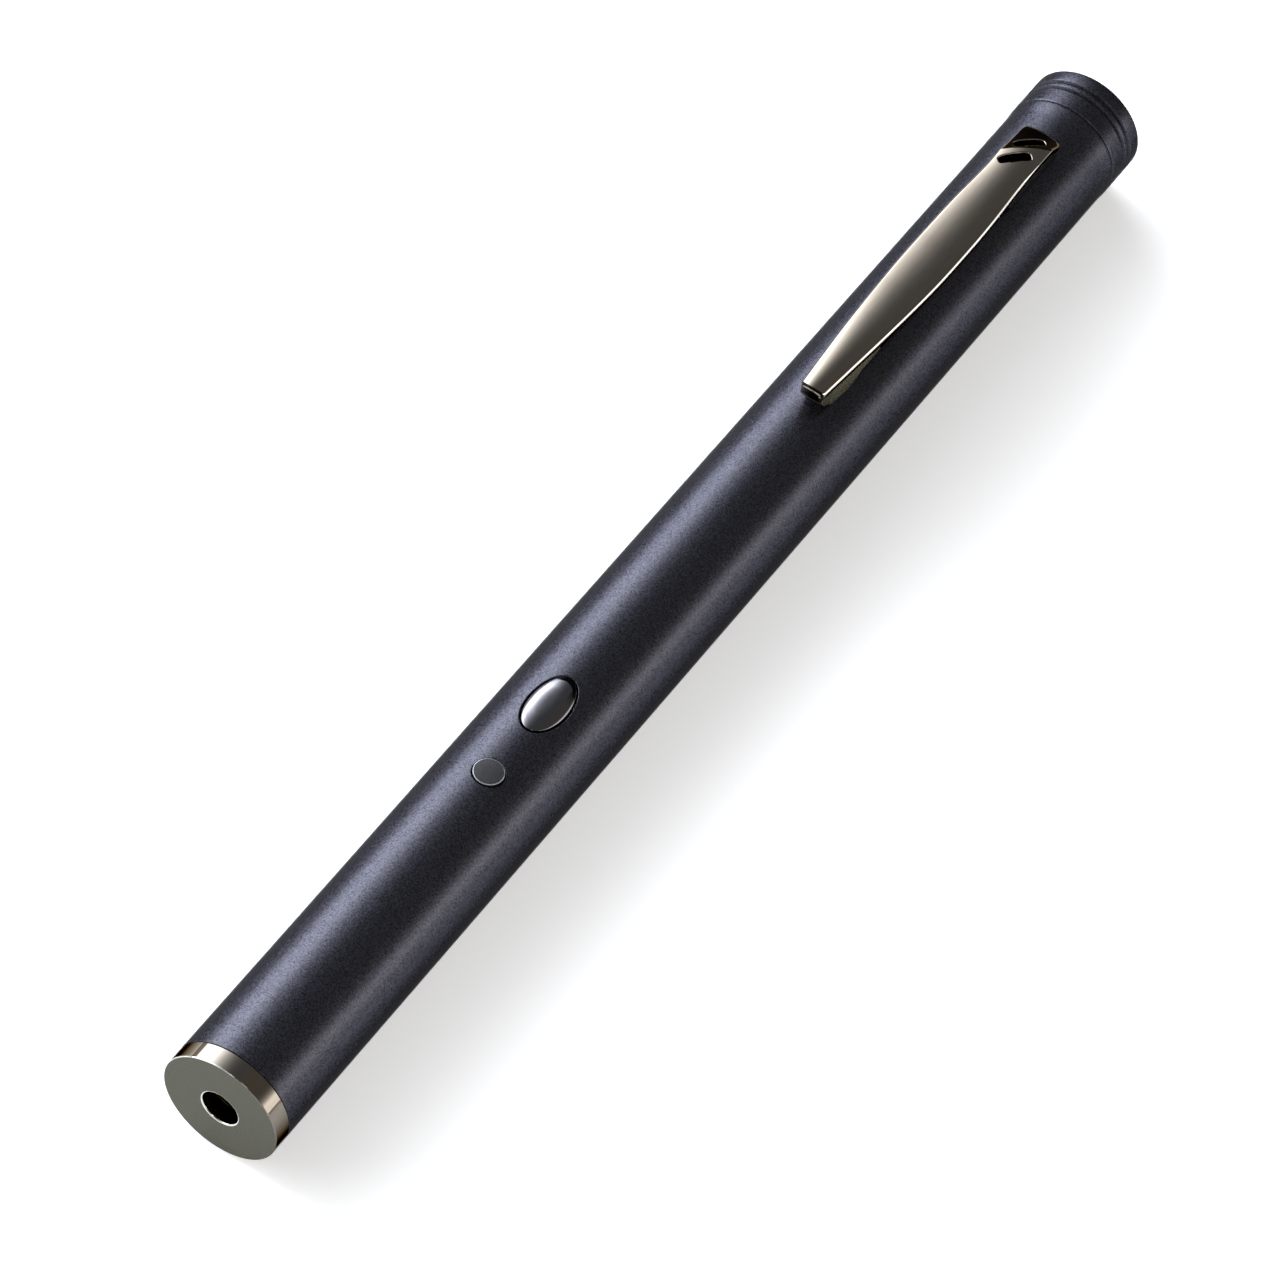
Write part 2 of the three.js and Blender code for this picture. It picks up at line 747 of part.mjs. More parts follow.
// The outline of an arched slot lying across the barrel, its round ends to the sides
function archedSlot() {
  const half = (slotLength - slotWidth) / 2;
  const radius = half ** 2 / (2 * slotArch) + slotArch / 2;
  const sweep = Math.asin(half / radius);
  const points = [];
  const edgePoint = (turn, offset) => {
    const reach = radius + offset;
    points.push(new THREE.Vector2(radius - slotArch - Math.cos(turn) * reach, Math.sin(turn) * reach));
  };
  for (let step = 0; step <= domeSteps; step += 1)
    edgePoint(THREE.MathUtils.lerp(-sweep, sweep, step / domeSteps), slotWidth / 2);
  const endPoint = (turn, around) => {
    const middle = new THREE.Vector2(radius - slotArch - Math.cos(turn) * radius, Math.sin(turn) * radius);
    const reach = new THREE.Vector2(Math.cos(around), Math.sin(around)).multiplyScalar(slotWidth / 2);
    points.push(middle.add(reach));
  };
  for (let step = 1; step < domeSteps; step += 1)
    endPoint(sweep, Math.PI - sweep - (Math.PI * step) / domeSteps);
  for (let step = 0; step <= domeSteps; step += 1)
    edgePoint(THREE.MathUtils.lerp(sweep, -sweep, step / domeSteps), -slotWidth / 2);
  for (let step = 1; step < domeSteps; step += 1)
    endPoint(-sweep, sweep - (Math.PI * step) / domeSteps);
  return new THREE.Shape(points);
}

// Pocket clip: a crowned arm whose nose rests on the barrel, on a foot with two arched slots and a tang
function clip() {
  const body = loft(clipRowShares.map(clipSection));
  const tangPlace = clipHeel - tangFromHeel - tangLength / 2;
  const tangTop = clipCrest + clipLip;
  const tang = block(tangPlace, 0, barrelRadius - tangDepth, tangTop, tangLength, tangWidth);
  const barrelSpace = rod(clipCrest, clipHeel - clipLength - overrun, clipHeel + overrun, wideFacets);
  const slots = [0, 1].map((row) => {
    const depth = clipRise + overrun;
    const slot = new THREE.ExtrudeGeometry(archedSlot(), { depth, bevelEnabled: false });
    const place = clipHeel - slotsFromHeel + row * slotPitch;
    return slot.rotateZ(slotTilt).translate(-place, -slotSide, footTop - slotDepth);
  });
  const arm = cut(body, barrelSpace, ...slots);
  return join(arm, tang);
}

// Exterior
add("barrel", barrel(), 0x2c2c34, 0.45, 0.7);
add("nose_ring", noseRing(), 0x6e675f, 0.15, 1);
add("push_button", button(), 0x111114, 0.12, 0);
add("indicator_window", indicatorWindow(), 0x6a6a70, 0.4, 0, { transparent: true, opacity: 0.8 });
add("pocket_clip", clip(), 0x5a534a, 0.1, 1);
add("tail_cap", tailCap(), 0x2c2c34, 0.45, 0.7);

// Laser module
add("module_housing", moduleHousing(), 0xb08d4a, 0.3, 1);
add("module_holder", rod(
  boreFitRadius,
  moduleRear - holderFromRear - holderLength,
  moduleRear - holderFromRear,
  middleFacets,
  moduleSeatRadius,
), 0x1a1a1c, 0.6, 0);
add("lens_ring", rod(
  lensRadius,
  lensRingFront,
  lensRingFront + lensRingLength,
  middleFacets,
  lensRadius - lensRingWall,
), 0x2a2a2a, 0.4, 0.6);
add("collimating_lens", lens(), 0xdfe8f0, 0.05, 0, { transparent: true, opacity: 0.5 });
add("lens_spring", spring(lensSpringPath, lensSpringWire), 0xa8a8a8, 0.3, 1);
add("laser_diode", diode(), 0xc9a45a, 0.3, 1);

// Electronics
const boardLength = boardRear - boardFront;
const boardWidth = 2 * (boreFitRadius - carrierSide - seatGap);
const boardPlace = (boardFront + boardRear) / 2;
const freeBoard = indicatorFromNose - ledLength / 2 - boardFront;
const onBoard = (share) => boardFront + share * freeBoard;
const solderTop = boardTop + seatGap;
add("board_carrier", carrier(), 0xe4e1d8, 0.6, 0);
add("driver_board", block(boardPlace, 0, boardBottom, boardTop, boardLength, boardWidth), 0x1f5a38, 0.5, 0);
add("ground_strip", groundStrip(onBoard(groundPlaceShare)), 0xb9b4a4, 0.3, 1);
add("power_trimmer", trimmer(onBoard(trimmerPlaceShare)), 0x2e4c8c, 0.5, 0);
add("driver_chip", block(
  onBoard(chipPlaceShare),
  0,
  solderTop,
  solderTop + chipHeight,
  chipLength,
  chipWidth,
), 0x18181a, 0.6, 0);
["resistor_left", "resistor_right"].forEach((name, row) => {
  const side = resistorOffset * (2 * row - 1);
  const high = solderTop + resistorHeight;
  const place = onBoard(resistorPlaceShare);
  add(name, block(place, side, solderTop, high, resistorLength, resistorWidth), 0x222224, 0.5, 0);
});
const ledTop = boardTop + ledHeight;
add("indicator_led", block(indicatorFromNose, 0, solderTop, ledTop, ledLength, ledWidth), 0xe8e4d8, 0.4, 0);
const capacitorPlace = (indicatorFromNose + ledLength / 2 + buttonFromNose - switchSide / 2) / 2;
add("capacitor", block(
  capacitorPlace,
  0,
  solderTop,
  solderTop + capacitorHeight,
  capacitorLength,
  capacitorWidth,
), 0xc8862e, 0.5, 0);
add("switch_body", switchBody(), 0x202022, 0.5, 0);
add("switch_plunger", post(
  buttonFromNose,
  0,
  plungerDiameter / 2,
  switchTop - plungerSink,
  plungerTop,
  smallFacets,
), 0xd8d8d4, 0.5, 0);

// Cells and contacts
add("positive_contact", positiveContact(), 0xc2bfb4, 0.3, 1);
["front", "rear"].forEach((name, row) => {
  const front = firstCellFront + row * cellStep;
  add("cell_" + name, cellCan(front), 0x3c4a5c, 0.4, 0.3);
  const terminal = rod(terminalDiameter / 2, front, front + terminalHeight, middleFacets);
  add("cell_" + name + "_terminal", terminal, 0xc8c8c4, 0.25, 1);
});
add("tail_spring", spring(tailSpringPath, tailSpringWire), 0xb8b8b4, 0.25, 1);
add("tail_contact", rod(
  spigotBore - contactGap,
  tailPlateFront,
  tailPlateFront + plateThickness,
  middleFacets,
), 0xc2bfb4, 0.3, 1);

console.log("least gap of the lens spring", leastGap(lensSpringPath, lensSpringWire).toFixed(2), "mm");
console.log("least gap of the tail spring", leastGap(tailSpringPath, tailSpringWire).toFixed(2), "mm");

pieces.position.set(overallLength / 2, 0, tailRadius);
const laserPointer = new THREE.Group();
laserPointer.add(pieces);

export default laserPointer;
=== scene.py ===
"""Looks of a pen-shaped laser pointer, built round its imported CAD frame.

Shapes are worked out in millimetres: x is minus the place behind the front face, y the side and z the
height over the barrel's axis. to_frame puts them into the row frame, in metres.
"""

import logging
import math
from dataclasses import dataclass
from enum import Enum
from typing import Callable, Mapping, Sequence

import bpy
import numpy as np
from mathutils import Matrix, Vector


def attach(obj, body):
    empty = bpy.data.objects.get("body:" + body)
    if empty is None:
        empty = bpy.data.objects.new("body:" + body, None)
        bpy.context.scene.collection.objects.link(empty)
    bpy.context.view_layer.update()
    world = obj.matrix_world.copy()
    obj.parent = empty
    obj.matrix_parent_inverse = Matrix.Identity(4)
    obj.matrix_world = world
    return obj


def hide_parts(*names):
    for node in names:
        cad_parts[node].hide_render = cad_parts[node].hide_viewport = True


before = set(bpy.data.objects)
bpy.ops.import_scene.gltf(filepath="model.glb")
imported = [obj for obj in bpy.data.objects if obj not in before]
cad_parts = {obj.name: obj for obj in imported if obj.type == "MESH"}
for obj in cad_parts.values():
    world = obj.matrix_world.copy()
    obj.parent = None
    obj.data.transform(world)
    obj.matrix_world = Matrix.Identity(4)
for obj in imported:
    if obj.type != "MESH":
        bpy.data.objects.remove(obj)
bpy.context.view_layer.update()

log = logging.getLogger("laser_pointer")

Array = np.ndarray
MM = 0.001
OVERALL_LENGTH = 160.43
AXIS_HEIGHT = 6.6
BARREL_RADIUS = 6.5
TAIL_RADIUS = 6.594
BORE_RADIUS = 5.5
SEAM = 154.85
SEAM_GAP = 0.12
WINDOW_PLACE = 43.85
BUTTON_PLACE = 54.4
TANG_PLACE = 146.78
TANG_POWER = 6.0
ELLIPSE_POWER = 2.0
FULL_TURN = 2 * math.pi
QUARTER_TURN = math.pi / 2


class Body(Enum):
    """The CAD bodies that pieces ride on."""

    POINTER = "pointer"
    BUTTON = "button"
    CLIP = "clip"
    TAIL_CARRIER = "tail_carrier"
    TAIL = "tail"


# Shapes


def to_frame(points: Array) -> Array:
    """Moves points from the barrel's own measures to the row frame.

    Args:
        points: Millimetres, x counted from the front face and z from the axis.

    Returns:
        The same points in metres in the row frame.
    """
    return (points + np.array([OVERALL_LENGTH / 2, 0, AXIS_HEIGHT])) * MM


def from_frame(points: Array) -> Array:
    """Moves points from the row frame back to the barrel's own measures, in millimetres."""
    return points / MM - np.array([OVERALL_LENGTH / 2, 0, AXIS_HEIGHT])


def loop_quads(first: Array, second: Array) -> Array:
    """Joins two closed loops of equal count.

    Args:
        first: Vertex numbers of one loop.
        second: Vertex numbers of the other.

    Returns:
        One quad for each step round the loops.
    """
    return np.stack([first, np.roll(first, -1), np.roll(second, -1), second], axis=-1)


def fan(loop: Array, centre: int) -> Array:
    """Closes a loop with triangles to a middle vertex.

    Args:
        loop: Vertex numbers of the loop.
        centre: Number of the middle vertex.

    Returns:
        The triangles.
    """
    middle = np.full_like(loop, centre)
    return np.stack([middle, loop, np.roll(loop, -1)], axis=-1)


@dataclass
class Shape:
    """A surface in millimetres: its points, its quads and its triangles."""

    points: Array
    quads: Array
    triangles: Array

    def outward(self) -> "Shape":
        """Turns every face outwards.

        The signed volume is a sixth of the sum, over all triangles, of the box product of their
        corners. Where it comes out negative, the faces are reversed.

        Returns:
            This shape.
        """
        halves = [self.quads[:, [0, 1, 2]], self.quads[:, [0, 2, 3]], self.triangles]
        a, b, c = np.moveaxis(self.points[np.concatenate(halves)], 1, 0)
        if np.einsum("ij,ij->", a, np.cross(b, c)) < 0:
            self.quads = self.quads[:, ::-1]
            self.triangles = self.triangles[:, ::-1]
        return self

    def with_part(self, other: "Shape") -> "Shape":
        """Joins another shape to this one.

        Args:
            other: The shape to join, whose points are numbered on from this one's.

        Returns:
            Both as one shape.
        """
        shift = len(self.points)
        return Shape(
            np.concatenate([self.points, other.points]),
            np.concatenate([self.quads, other.quads + shift]),
            np.concatenate([self.triangles, other.triangles + shift]),
        )


def rounded(corners: Sequence[tuple[float, float, float]], steps: int = 6) -> Array:
    """A closed outline with rounded corners.

    At a corner the two sides are left at the tangent length r / tan(half the corner's angle), and the
    arc between is swept about the centre that lies r / sin(half the angle) along the bisector.

    Args:
        corners: Each corner's two coordinates and its radius.
        steps: Steps in each arc.

    Returns:
        The outline's points.
    """
    points = np.array([corner[:2] for corner in corners], float)
    outline = []
    for number, (_, _, radius) in enumerate(corners):
        here = points[number]
        if radius == 0:
            outline.append(here[None])
            continue
        back = points[number - 1] - here
        ahead = points[(number + 1) % len(points)] - here
        back, ahead = back / np.linalg.norm(back), ahead / np.linalg.norm(ahead)
        half = math.acos(np.clip(back @ ahead, -1, 1)) / 2
        bisector = (back + ahead) / np.linalg.norm(back + ahead)
        centre = here + bisector * radius / math.sin(half)
        start = here + back * radius / math.tan(half) - centre
        end = here + ahead * radius / math.tan(half) - centre
        sweep = math.pi - 2 * half
        share = np.linspace(0, 1, steps + 1)[:, None]
        arc = start * np.sin((1 - share) * sweep) + end * np.sin(share * sweep)
        outline.append(centre + arc / math.sin(sweep))
    return np.concatenate(outline)


def grid_quads(numbers: Array) -> Array:
    """Joins the rows of a grid.

    Args:
        numbers: Vertex numbers by row and column.

    Returns:
        For each cell, the quad of its corner, the next in the row and the two in the next row.
    """
    return np.stack([numbers[:-1, :-1], numbers[:-1, 1:], numbers[1:, 1:], numbers[1:, :-1]], -1)


def stacked(rings: Array, poles: Array | None = None) -> Shape:
    """A closed skin over rings of equal count, with a fan over each end.

    Args:
        rings: Points of the rings, as an array of ring, step and coordinate.
        poles: Middles of the two fans, or None for the means of the end rings.

    Returns:
        The closed shape.
    """
    loops = np.arange(rings.shape[0] * rings.shape[1]).reshape(rings.shape[:2])
    quads = grid_quads(np.pad(loops, ((0, 0), (0, 1)), mode="wrap")).reshape(-1, 4)
    poles = rings[[0, -1]].mean(axis=1) if poles is None else poles
    points = np.concatenate([rings.reshape(-1, 3), poles])
    first, last = fan(loops[0], len(points) - 2)[:, ::-1], fan(loops[-1], len(points) - 1)
    return Shape(points, quads, np.concatenate([first, last])).outward()


def turned(outline: Array, facets: int) -> Shape:
    """A body turned on the barrel's axis.

    A point of the outline at radius r and place s goes round as (-s, r sin t, r cos t), with t over
    one full turn. An outline that starts and ends on the axis is closed there by two fans, and any
    other is closed on itself.

    Args:
        outline: Radius and place of each point.
        facets: Steps round the axis.

    Returns:
        The closed shape.
    """
    on_axis = outline[0, 0] == 0 and outline[-1, 0] == 0
    ring = outline[1:-1] if on_axis else outline
    turn = np.linspace(0, FULL_TURN, facets, endpoint=False)
    radius, place = ring[:, :1], ring[:, 1:]
    x = np.broadcast_to(-place, (len(ring), facets))
    rings = np.stack([x, radius * np.sin(turn), radius * np.cos(turn)], -1)
    if on_axis:
        return stacked(rings, np.array([[-outline[0, 1], 0, 0], [-outline[-1, 1], 0, 0]]))
    loops = np.arange(len(ring) * facets).reshape(len(ring), facets)
    quads = grid_quads(np.pad(loops, (0, 1), mode="wrap")).reshape(-1, 4)
    return Shape(rings.reshape(-1, 3), quads, np.zeros((0, 3), int)).outward()


def level_ring(place: float, half: tuple[float, float], height: Array | float, facets: int) -> Array:
    """A level ellipse over the top line: (a cos t - s, b sin t, h), with t over one full turn.

    Args:
        place: Place s of its middle.
        half: Half length a and half width b.
        height: Height h of the ring, or of each of its points.
        facets: Points in the ring.

    Returns:
        The points.
    """
    turn = np.linspace(0, FULL_TURN, facets, endpoint=False)
    x, y = np.cos(turn) * half[0] - place, np.sin(turn) * half[1]
    return np.column_stack([x, y, np.broadcast_to(height, facets)])


def coil(path: Array, wire: float, sides: int) -> Shape:
    """A round wire along a path, with flat ends.

    At each point the tangent is the path's central difference. The wire's ring lies in the plane of
    the direction away from the barrel's axis and of its cross product with the tangent.

    Args:
        path: Points of the wire's centre line.
        wire: Diameter of the wire.
        sides: Facets round the wire.

    Returns:
        The closed shape.
    """
    tangent = np.gradient(path, axis=0)
    tangent /= np.linalg.norm(tangent, axis=1, keepdims=True)
    away = path * np.array([0, 1, 1])
    away -= tangent * np.einsum("ij,ij->i", away, tangent)[:, None]
    away /= np.linalg.norm(away, axis=1, keepdims=True)
    beside = np.cross(tangent, away)
    turn = np.linspace(0, FULL_TURN, sides, endpoint=False)[None, :, None]
    offset = np.cos(turn) * away[:, None] + np.sin(turn) * beside[:, None]
    return stacked(path[:, None] + offset * wire / 2)


@dataclass(frozen=True)
class Opening:
    """An opening in a sheet, and the block of the sheet's rows and columns that it takes.

    outline gives the plan of its edge, place and side, for a direction round it and a growth.
    """

    rows: tuple[int, int]
    columns: tuple[int, int]
    outline: Callable[[Array, float], Array]


class Sheet:
    """A grid of points with openings, gathered with the walls that are built on to them."""

    # How many widths of its rounded edge outside an opening the last ring on the sheet lies.
    ring_offset: float = 1.5

    def __init__(self, grid: Array, plan: Array, lift: Callable[[Array], Array], wraps: bool) -> None:
        """Takes the grid.

        Args:
            grid: Points by row and column.
            plan: Place and side of each grid point.
            lift: Gives the point of the sheet over a plan.
            wraps: True if the last column joins the first.
        """
        self.lift = lift
        self.plan = plan
        self.loops = np.arange(grid.shape[0] * grid.shape[1]).reshape(grid.shape[:2])
        self.points = [grid.reshape(-1, 3)]
        self.count = self.loops.size
        columns = grid.shape[1] if wraps else grid.shape[1] - 1
        self.kept = np.ones((grid.shape[0] - 1, columns), bool)
        self.faces: list[Array] = []

    def add(self, points: Array) -> Array:
        """Adds points to those of the sheet.

        Args:
            points: The points.

        Returns:
            Their numbers.
        """
        numbers = np.arange(self.count, self.count + len(points))
        self.points.append(points)
        self.count += len(points)
        return numbers

    def sink(self, plan: Array, depth: float) -> Array:
        """Works out points below the sheet.

        Args:
            plan: Place and side of each point.
            depth: How far it lies below the sheet.

        Returns:
            The points.
        """
        points = self.lift(plan)
        points[:, 2] -= depth
        return points

    def pierce(self, opening: Opening, rings: int, edge: float, steps: int = 4) -> tuple[Array, Array]:
        """Cuts an opening and fills the block round it with rings.

        The rings run from the block's border to the opening's outline in even shares, in plan, and
        the lift puts them on the sheet. The edge is a quarter round: at turn t it lies e (1 - sin t)
        outside the outline and e (1 - cos t) deep.

        Args:
            opening: What to cut.
            rings: Rings between border and opening.
            edge: Radius of the rounded edge, or zero.
            steps: Steps in the rounded edge.

        Returns:
            The numbers of the opening's last ring, and the directions of its points.
        """
        (top, bottom), (left, right) = opening.rows, opening.columns
        self.kept[top:bottom, left:right] = False
        level, upright = np.ones(right - left, int), np.ones(bottom - top, int)
        row = np.r_[level * top, top:bottom, level * bottom, bottom:top:-1]
        column = np.r_[left:right, upright * right, right:left:-1, upright * left]
        across = (2 * column - left - right) / (right - left)
        along = (2 * row - top - bottom) / (bottom - top)
        turn = np.arctan2(across, along)
        border = self.plan[row, column]
        last = self.loops[row, column]
        goal = opening.outline(turn, edge * self.ring_offset)
        for share in np.linspace(0, 1, rings + 1)[1:]:
            here = self.add(self.lift(border + (goal - border) * share))
            self.faces.append(loop_quads(last, here))
            last = here
        if edge > 0:
            for tilt in np.linspace(0, QUARTER_TURN, steps + 1):
                plan = opening.outline(turn, edge * (1 - math.sin(tilt)))
                here = self.add(self.sink(plan, edge * (1 - math.cos(tilt))))
                self.faces.append(loop_quads(last, here))
                last = here
        return last, turn

    def quads(self) -> Array:
        """Gathers the faces.

        Returns:
            The quads of the grid that are left, and those that were built on.
        """
        wraps = self.kept.shape[1] == self.loops.shape[1]
        loops = np.pad(self.loops, ((0, 0), (0, int(wraps))), mode="wrap")
        return np.concatenate([grid_quads(loops)[self.kept], *self.faces])


def tidied(points: Array, quads: Array, triangles: Array) -> Shape:
    """A shape without the points that no face uses.

    Args:
        points: All the points.
        quads: The quads.
        triangles: The triangles.

    Returns:
        The shape, turned outwards.
    """
    used = np.unique(np.concatenate([quads.ravel(), triangles.ravel()]))
    number = np.zeros(len(points), int)
    number[used] = np.arange(len(used))
    return Shape(points[used], number[quads], number[triangles]).outward()


def superellipse(turn: Array, length: float, width: float, power: float) -> Array:
    """The outline |x / a| ^ n + |y / b| ^ n = 1, as (a c |c| ^ (2/n - 1), b s |s| ^ (2/n - 1)).

    Args:
        turn: Direction of each point.
        length: Half length a.
        width: Half width b.
        power: Power n; 2 is an ellipse.

    Returns:
        The points of the outline.
    """
    c, s = np.cos(turn), np.sin(turn)
    x = length * np.sign(c) * np.abs(c) ** (2 / power)
    y = width * np.sign(s) * np.abs(s) ** (2 / power)
    return np.stack([x, y], -1)


# Finishes


# Nearly all of a fractal noise lies between these levels.
NOISE_LOW, NOISE_HIGH = 0.3, 0.7


def linear(colour: str) -> tuple[float, float, float, float]:
    """Turns an sRGB colour to a linear one.

    A share up to 0.04045 is divided by 12.92. Above it, (share + 0.055) / 1.055 is raised to 2.4.

    Args:
        colour: The colour in hex, after a hash sign.

    Returns:
        Red, green and blue, and full alpha.
    """
    shares = np.array([int(colour[i : i + 2], 16) / 255 for i in (1, 3, 5)])
    values = np.where(shares <= 0.04045, shares / 12.92, ((shares + 0.055) / 1.055) ** 2.4)
    return (*map(float, values), 1.0)


def fresh_tree(owner: bpy.types.Material | bpy.types.World) -> bpy.types.NodeTree:
    """Empties the node tree of a material or a world.

    Args:
        owner: What the tree belongs to.

    Returns:
        The empty tree.
    """
    owner.use_nodes = True
    owner.node_tree.nodes.clear()
    return owner.node_tree


def node(
    tree: bpy.types.NodeTree,
    kind: str,
    settings: Mapping[str, object] | None = None,
    links: Mapping[str | int, object] | None = None,
) -> bpy.types.Node:
    """Adds a node with its settings and links.

    Args:
        tree: The tree that gets it.
        kind: Blender's name of the node's type.
        settings: Properties by name, and socket values by the socket's name or number.
        links: Output sockets by the name or number of the input that each goes to.

    Returns:
        The node.
    """
    made = tree.nodes.new(kind)
    for name, value in (settings or {}).items():
        if isinstance(name, str) and hasattr(made, name):
            setattr(made, name, value)
        else:
            made.inputs[name].default_value = value
    for name, output in (links or {}).items():
        tree.links.new(output, made.inputs[name])
    return made


@dataclass(frozen=True)
class Finish:
    """A surface: colour, gloss and a fine grain that shades both and lifts the surface.

    grain is the grain's size in millimetres and stretch scales it along x, y and z. shade is how far
    the colour strays, blur how far the roughness does, and relief the height of the bump in
    millimetres.
    """

    name: str
    colour: str
    roughness: float
    metallic: float = 0.0
    ior: float = 1.5
    grain: float = 0.3
    stretch: tuple[float, float, float] = (1, 1, 1)
    shade: float = 0.15
    blur: float = 0.05
    relief: float = 0.002
    coat: float = 0.0
    coat_roughness: float = 0.05
    edge_tint: str = "#ffffff"
    transmission: float = 0.0

    def build(self) -> bpy.types.Material:
        """Makes the material, unless a piece has it already.

        Returns:
            The material, one for each finish.
        """
        found = bpy.data.materials.get(self.name)
        if found:
            return found
        material = bpy.data.materials.new(self.name)
        tree = fresh_tree(material)
        grain = self.pattern(tree)
        colour = self.tone(tree, grain)
        rough = node(
            tree,
            "ShaderNodeMapRange",
            {
                "From Min": NOISE_LOW,
                "From Max": NOISE_HIGH,
                "To Min": max(self.roughness - self.blur, 0.0),
                "To Max": min(self.roughness + self.blur, 1.0),
            },
            {"Value": grain},
        )
        bump = node(
            tree, "ShaderNodeBump", {"Strength": 1.0, "Distance": self.relief * MM}, {"Height": grain}
        )
        shader = node(
            tree,
            "ShaderNodeBsdfPrincipled",
            {
                "Metallic": self.metallic,
                "IOR": self.ior,
                "Specular Tint": linear(self.edge_tint),
                "Coat Weight": self.coat,
                "Coat Roughness": self.coat_roughness,
                "Transmission Weight": self.transmission,
            },
            {"Base Color": colour, "Roughness": rough.outputs[0], "Normal": bump.outputs[0]},
        )
        node(tree, "ShaderNodeOutputMaterial", links={"Surface": shader.outputs[0]})
        return material

    def place(self, tree: bpy.types.NodeTree) -> bpy.types.NodeSocket:
        """Measures the piece's own coordinates in grains.

        Args:
            tree: The material's tree.

        Returns:
            The coordinates over the grain's size, stretched.
        """
        where = node(tree, "ShaderNodeTexCoord")
        scale = [share / (self.grain * MM) for share in self.stretch]
        return node(
            tree, "ShaderNodeMapping", {"Scale": scale}, {"Vector": where.outputs["Object"]}
        ).outputs[0]

    def pattern(self, tree: bpy.types.NodeTree) -> bpy.types.NodeSocket:
        """Draws the grain, a fractal noise about one half.

        Args:
            tree: The material's tree.

        Returns:
            The noise's level.
        """
        return node(
            tree,
            "ShaderNodeTexNoise",
            {"Scale": 1.0, "Detail": 3.0, "Roughness": 0.6},
            {"Vector": self.place(tree)},
        ).outputs[0]

    def tone(self, tree: bpy.types.NodeTree, grain: bpy.types.NodeSocket) -> bpy.types.NodeSocket:
        """Shades the colour by the grain.

        Args:
            tree: The material's tree.
            grain: The grain's level.

        Returns:
            The colour, darker and lighter by up to the finish's shade.
        """
        base = linear(self.colour)
        low = [value * (1 - self.shade) for value in base[:3]] + [1]
        high = [min(value * (1 + self.shade), 1) for value in base[:3]] + [1]
        share = node(
            tree, "ShaderNodeMapRange", {"From Min": NOISE_LOW, "From Max": NOISE_HIGH}, {"Value": grain}
        ).outputs[0]
        return node(
            tree, "ShaderNodeMix", {"data_type": "RGBA", 6: low, 7: high}, {"Factor": share}
        ).outputs[2]


@dataclass(frozen=True)
class FlakePaint(Finish):
    """A finish whose grain is made of flakes, each with its own share of the light."""

    def pattern(self, tree: bpy.types.NodeTree) -> bpy.types.NodeSocket:
        """Draws the flakes, the cells of a Voronoi pattern.

        Args:
            tree: The material's tree.

        Returns:
            A random level for each flake, within the span of a noise.
        """
        cells = node(tree, "ShaderNodeTexVoronoi", {"Scale": 1.0}, {"Vector": self.place(tree)})
        return node(
            tree,
            "ShaderNodeMapRange",
            {"To Min": NOISE_LOW, "To Max": NOISE_HIGH},
            {"Value": cells.outputs["Color"]},
        ).outputs[0]


# Bead-blasted aluminium tube under a thin satin metallic paint. The eye sees a soft sheen of
# blue-violet specks on blue-black. The real flakes of about 0.04 mm are drawn at 0.11 mm, because
# they would be too fine to show.
SATIN_PAINT = FlakePaint(
    "satin_metallic_paint",
    "#3f3f46",
    roughness=0.3,
    metallic=0.88,
    grain=0.11,
    shade=0.6,
    relief=0.0,
    edge_tint="#4a4a4a",
)

# Dark nickel, electroplated on brass and buffed: mirror reflections, warm and dim, with faint
# polishing marks along the piece.
POLISHED_NICKEL = Finish(
    "polished_dark_nickel",
    "#7c756c",
    roughness=0.05,
    metallic=1.0,
    grain=0.4,
    stretch=(0.15, 1, 1),
    shade=0.05,
    blur=0.02,
    relief=0.0002,
    edge_tint="#4a453e",
)

# Black nickel on stamped spring steel, buffed: the same mirror, a shade lighter and browner.
BLACK_NICKEL = Finish(
    "polished_black_nickel",
    "#887f74",
    roughness=0.06,
    metallic=1.0,
    grain=0.4,
    stretch=(0.15, 1, 1),
    shade=0.05,
    blur=0.02,
    relief=0.0002,
    edge_tint="#4a453e",
)

# A pale silvery nickel on the clip's right bevel and on the ring's rims: a painted highlight, the bright
# line of light that these edges catch.
PAINTED_HIGHLIGHT = Finish(
    "painted_highlight_nickel",
    "#d0cec8",
    roughness=0.08,
    metallic=1.0,
    shade=0.08,
    blur=0.04,
    relief=0.0002,
)

# The same plating on the sheared sides of the keel, which the buffing wheel didn't reach: a dull
# olive grey without a clear reflection.
DULL_NICKEL = Finish(
    "dull_black_nickel",
    "#807c6c",
    roughness=0.42,
    metallic=1.0,
    grain=0.15,
    shade=0.2,
    edge_tint="#5a5850",
)

# The same steel, painted near black where shade and dark reflections fall: in the stamped slots, in two
# bands over the nose's blunt front, on the clip's left bevel and below its plate towards the foot. The eye
# sees a dark edge, soft and without colour.
PAINTED_SHADE = Finish(
    "painted_shade_black", "#14110f", roughness=0.3, metallic=1.0, grain=0.2, relief=0.001
)

# The same plating over a fine-turned and blasted face: even and grey, without a clear reflection.
BLASTED_NICKEL = Finish(
    "blasted_dark_nickel",
    "#6c6c64",
    roughness=0.5,
    metallic=1.0,
    grain=0.14,
    shade=0.24,
    relief=0.004,
    edge_tint="#606060",
)

# Moulded ABS under a smoky vacuum-metallised lacquer: a near-black mirror that shows the panels
# as clear streaks.
SMOKY_CHROME = Finish(
    "metallised_black_abs",
    "#6c6b6f",
    roughness=0.075,
    metallic=1.0,
    grain=0.5,
    shade=0.05,
    relief=0.0003,
    blur=0.03,
    edge_tint="#808088",
)

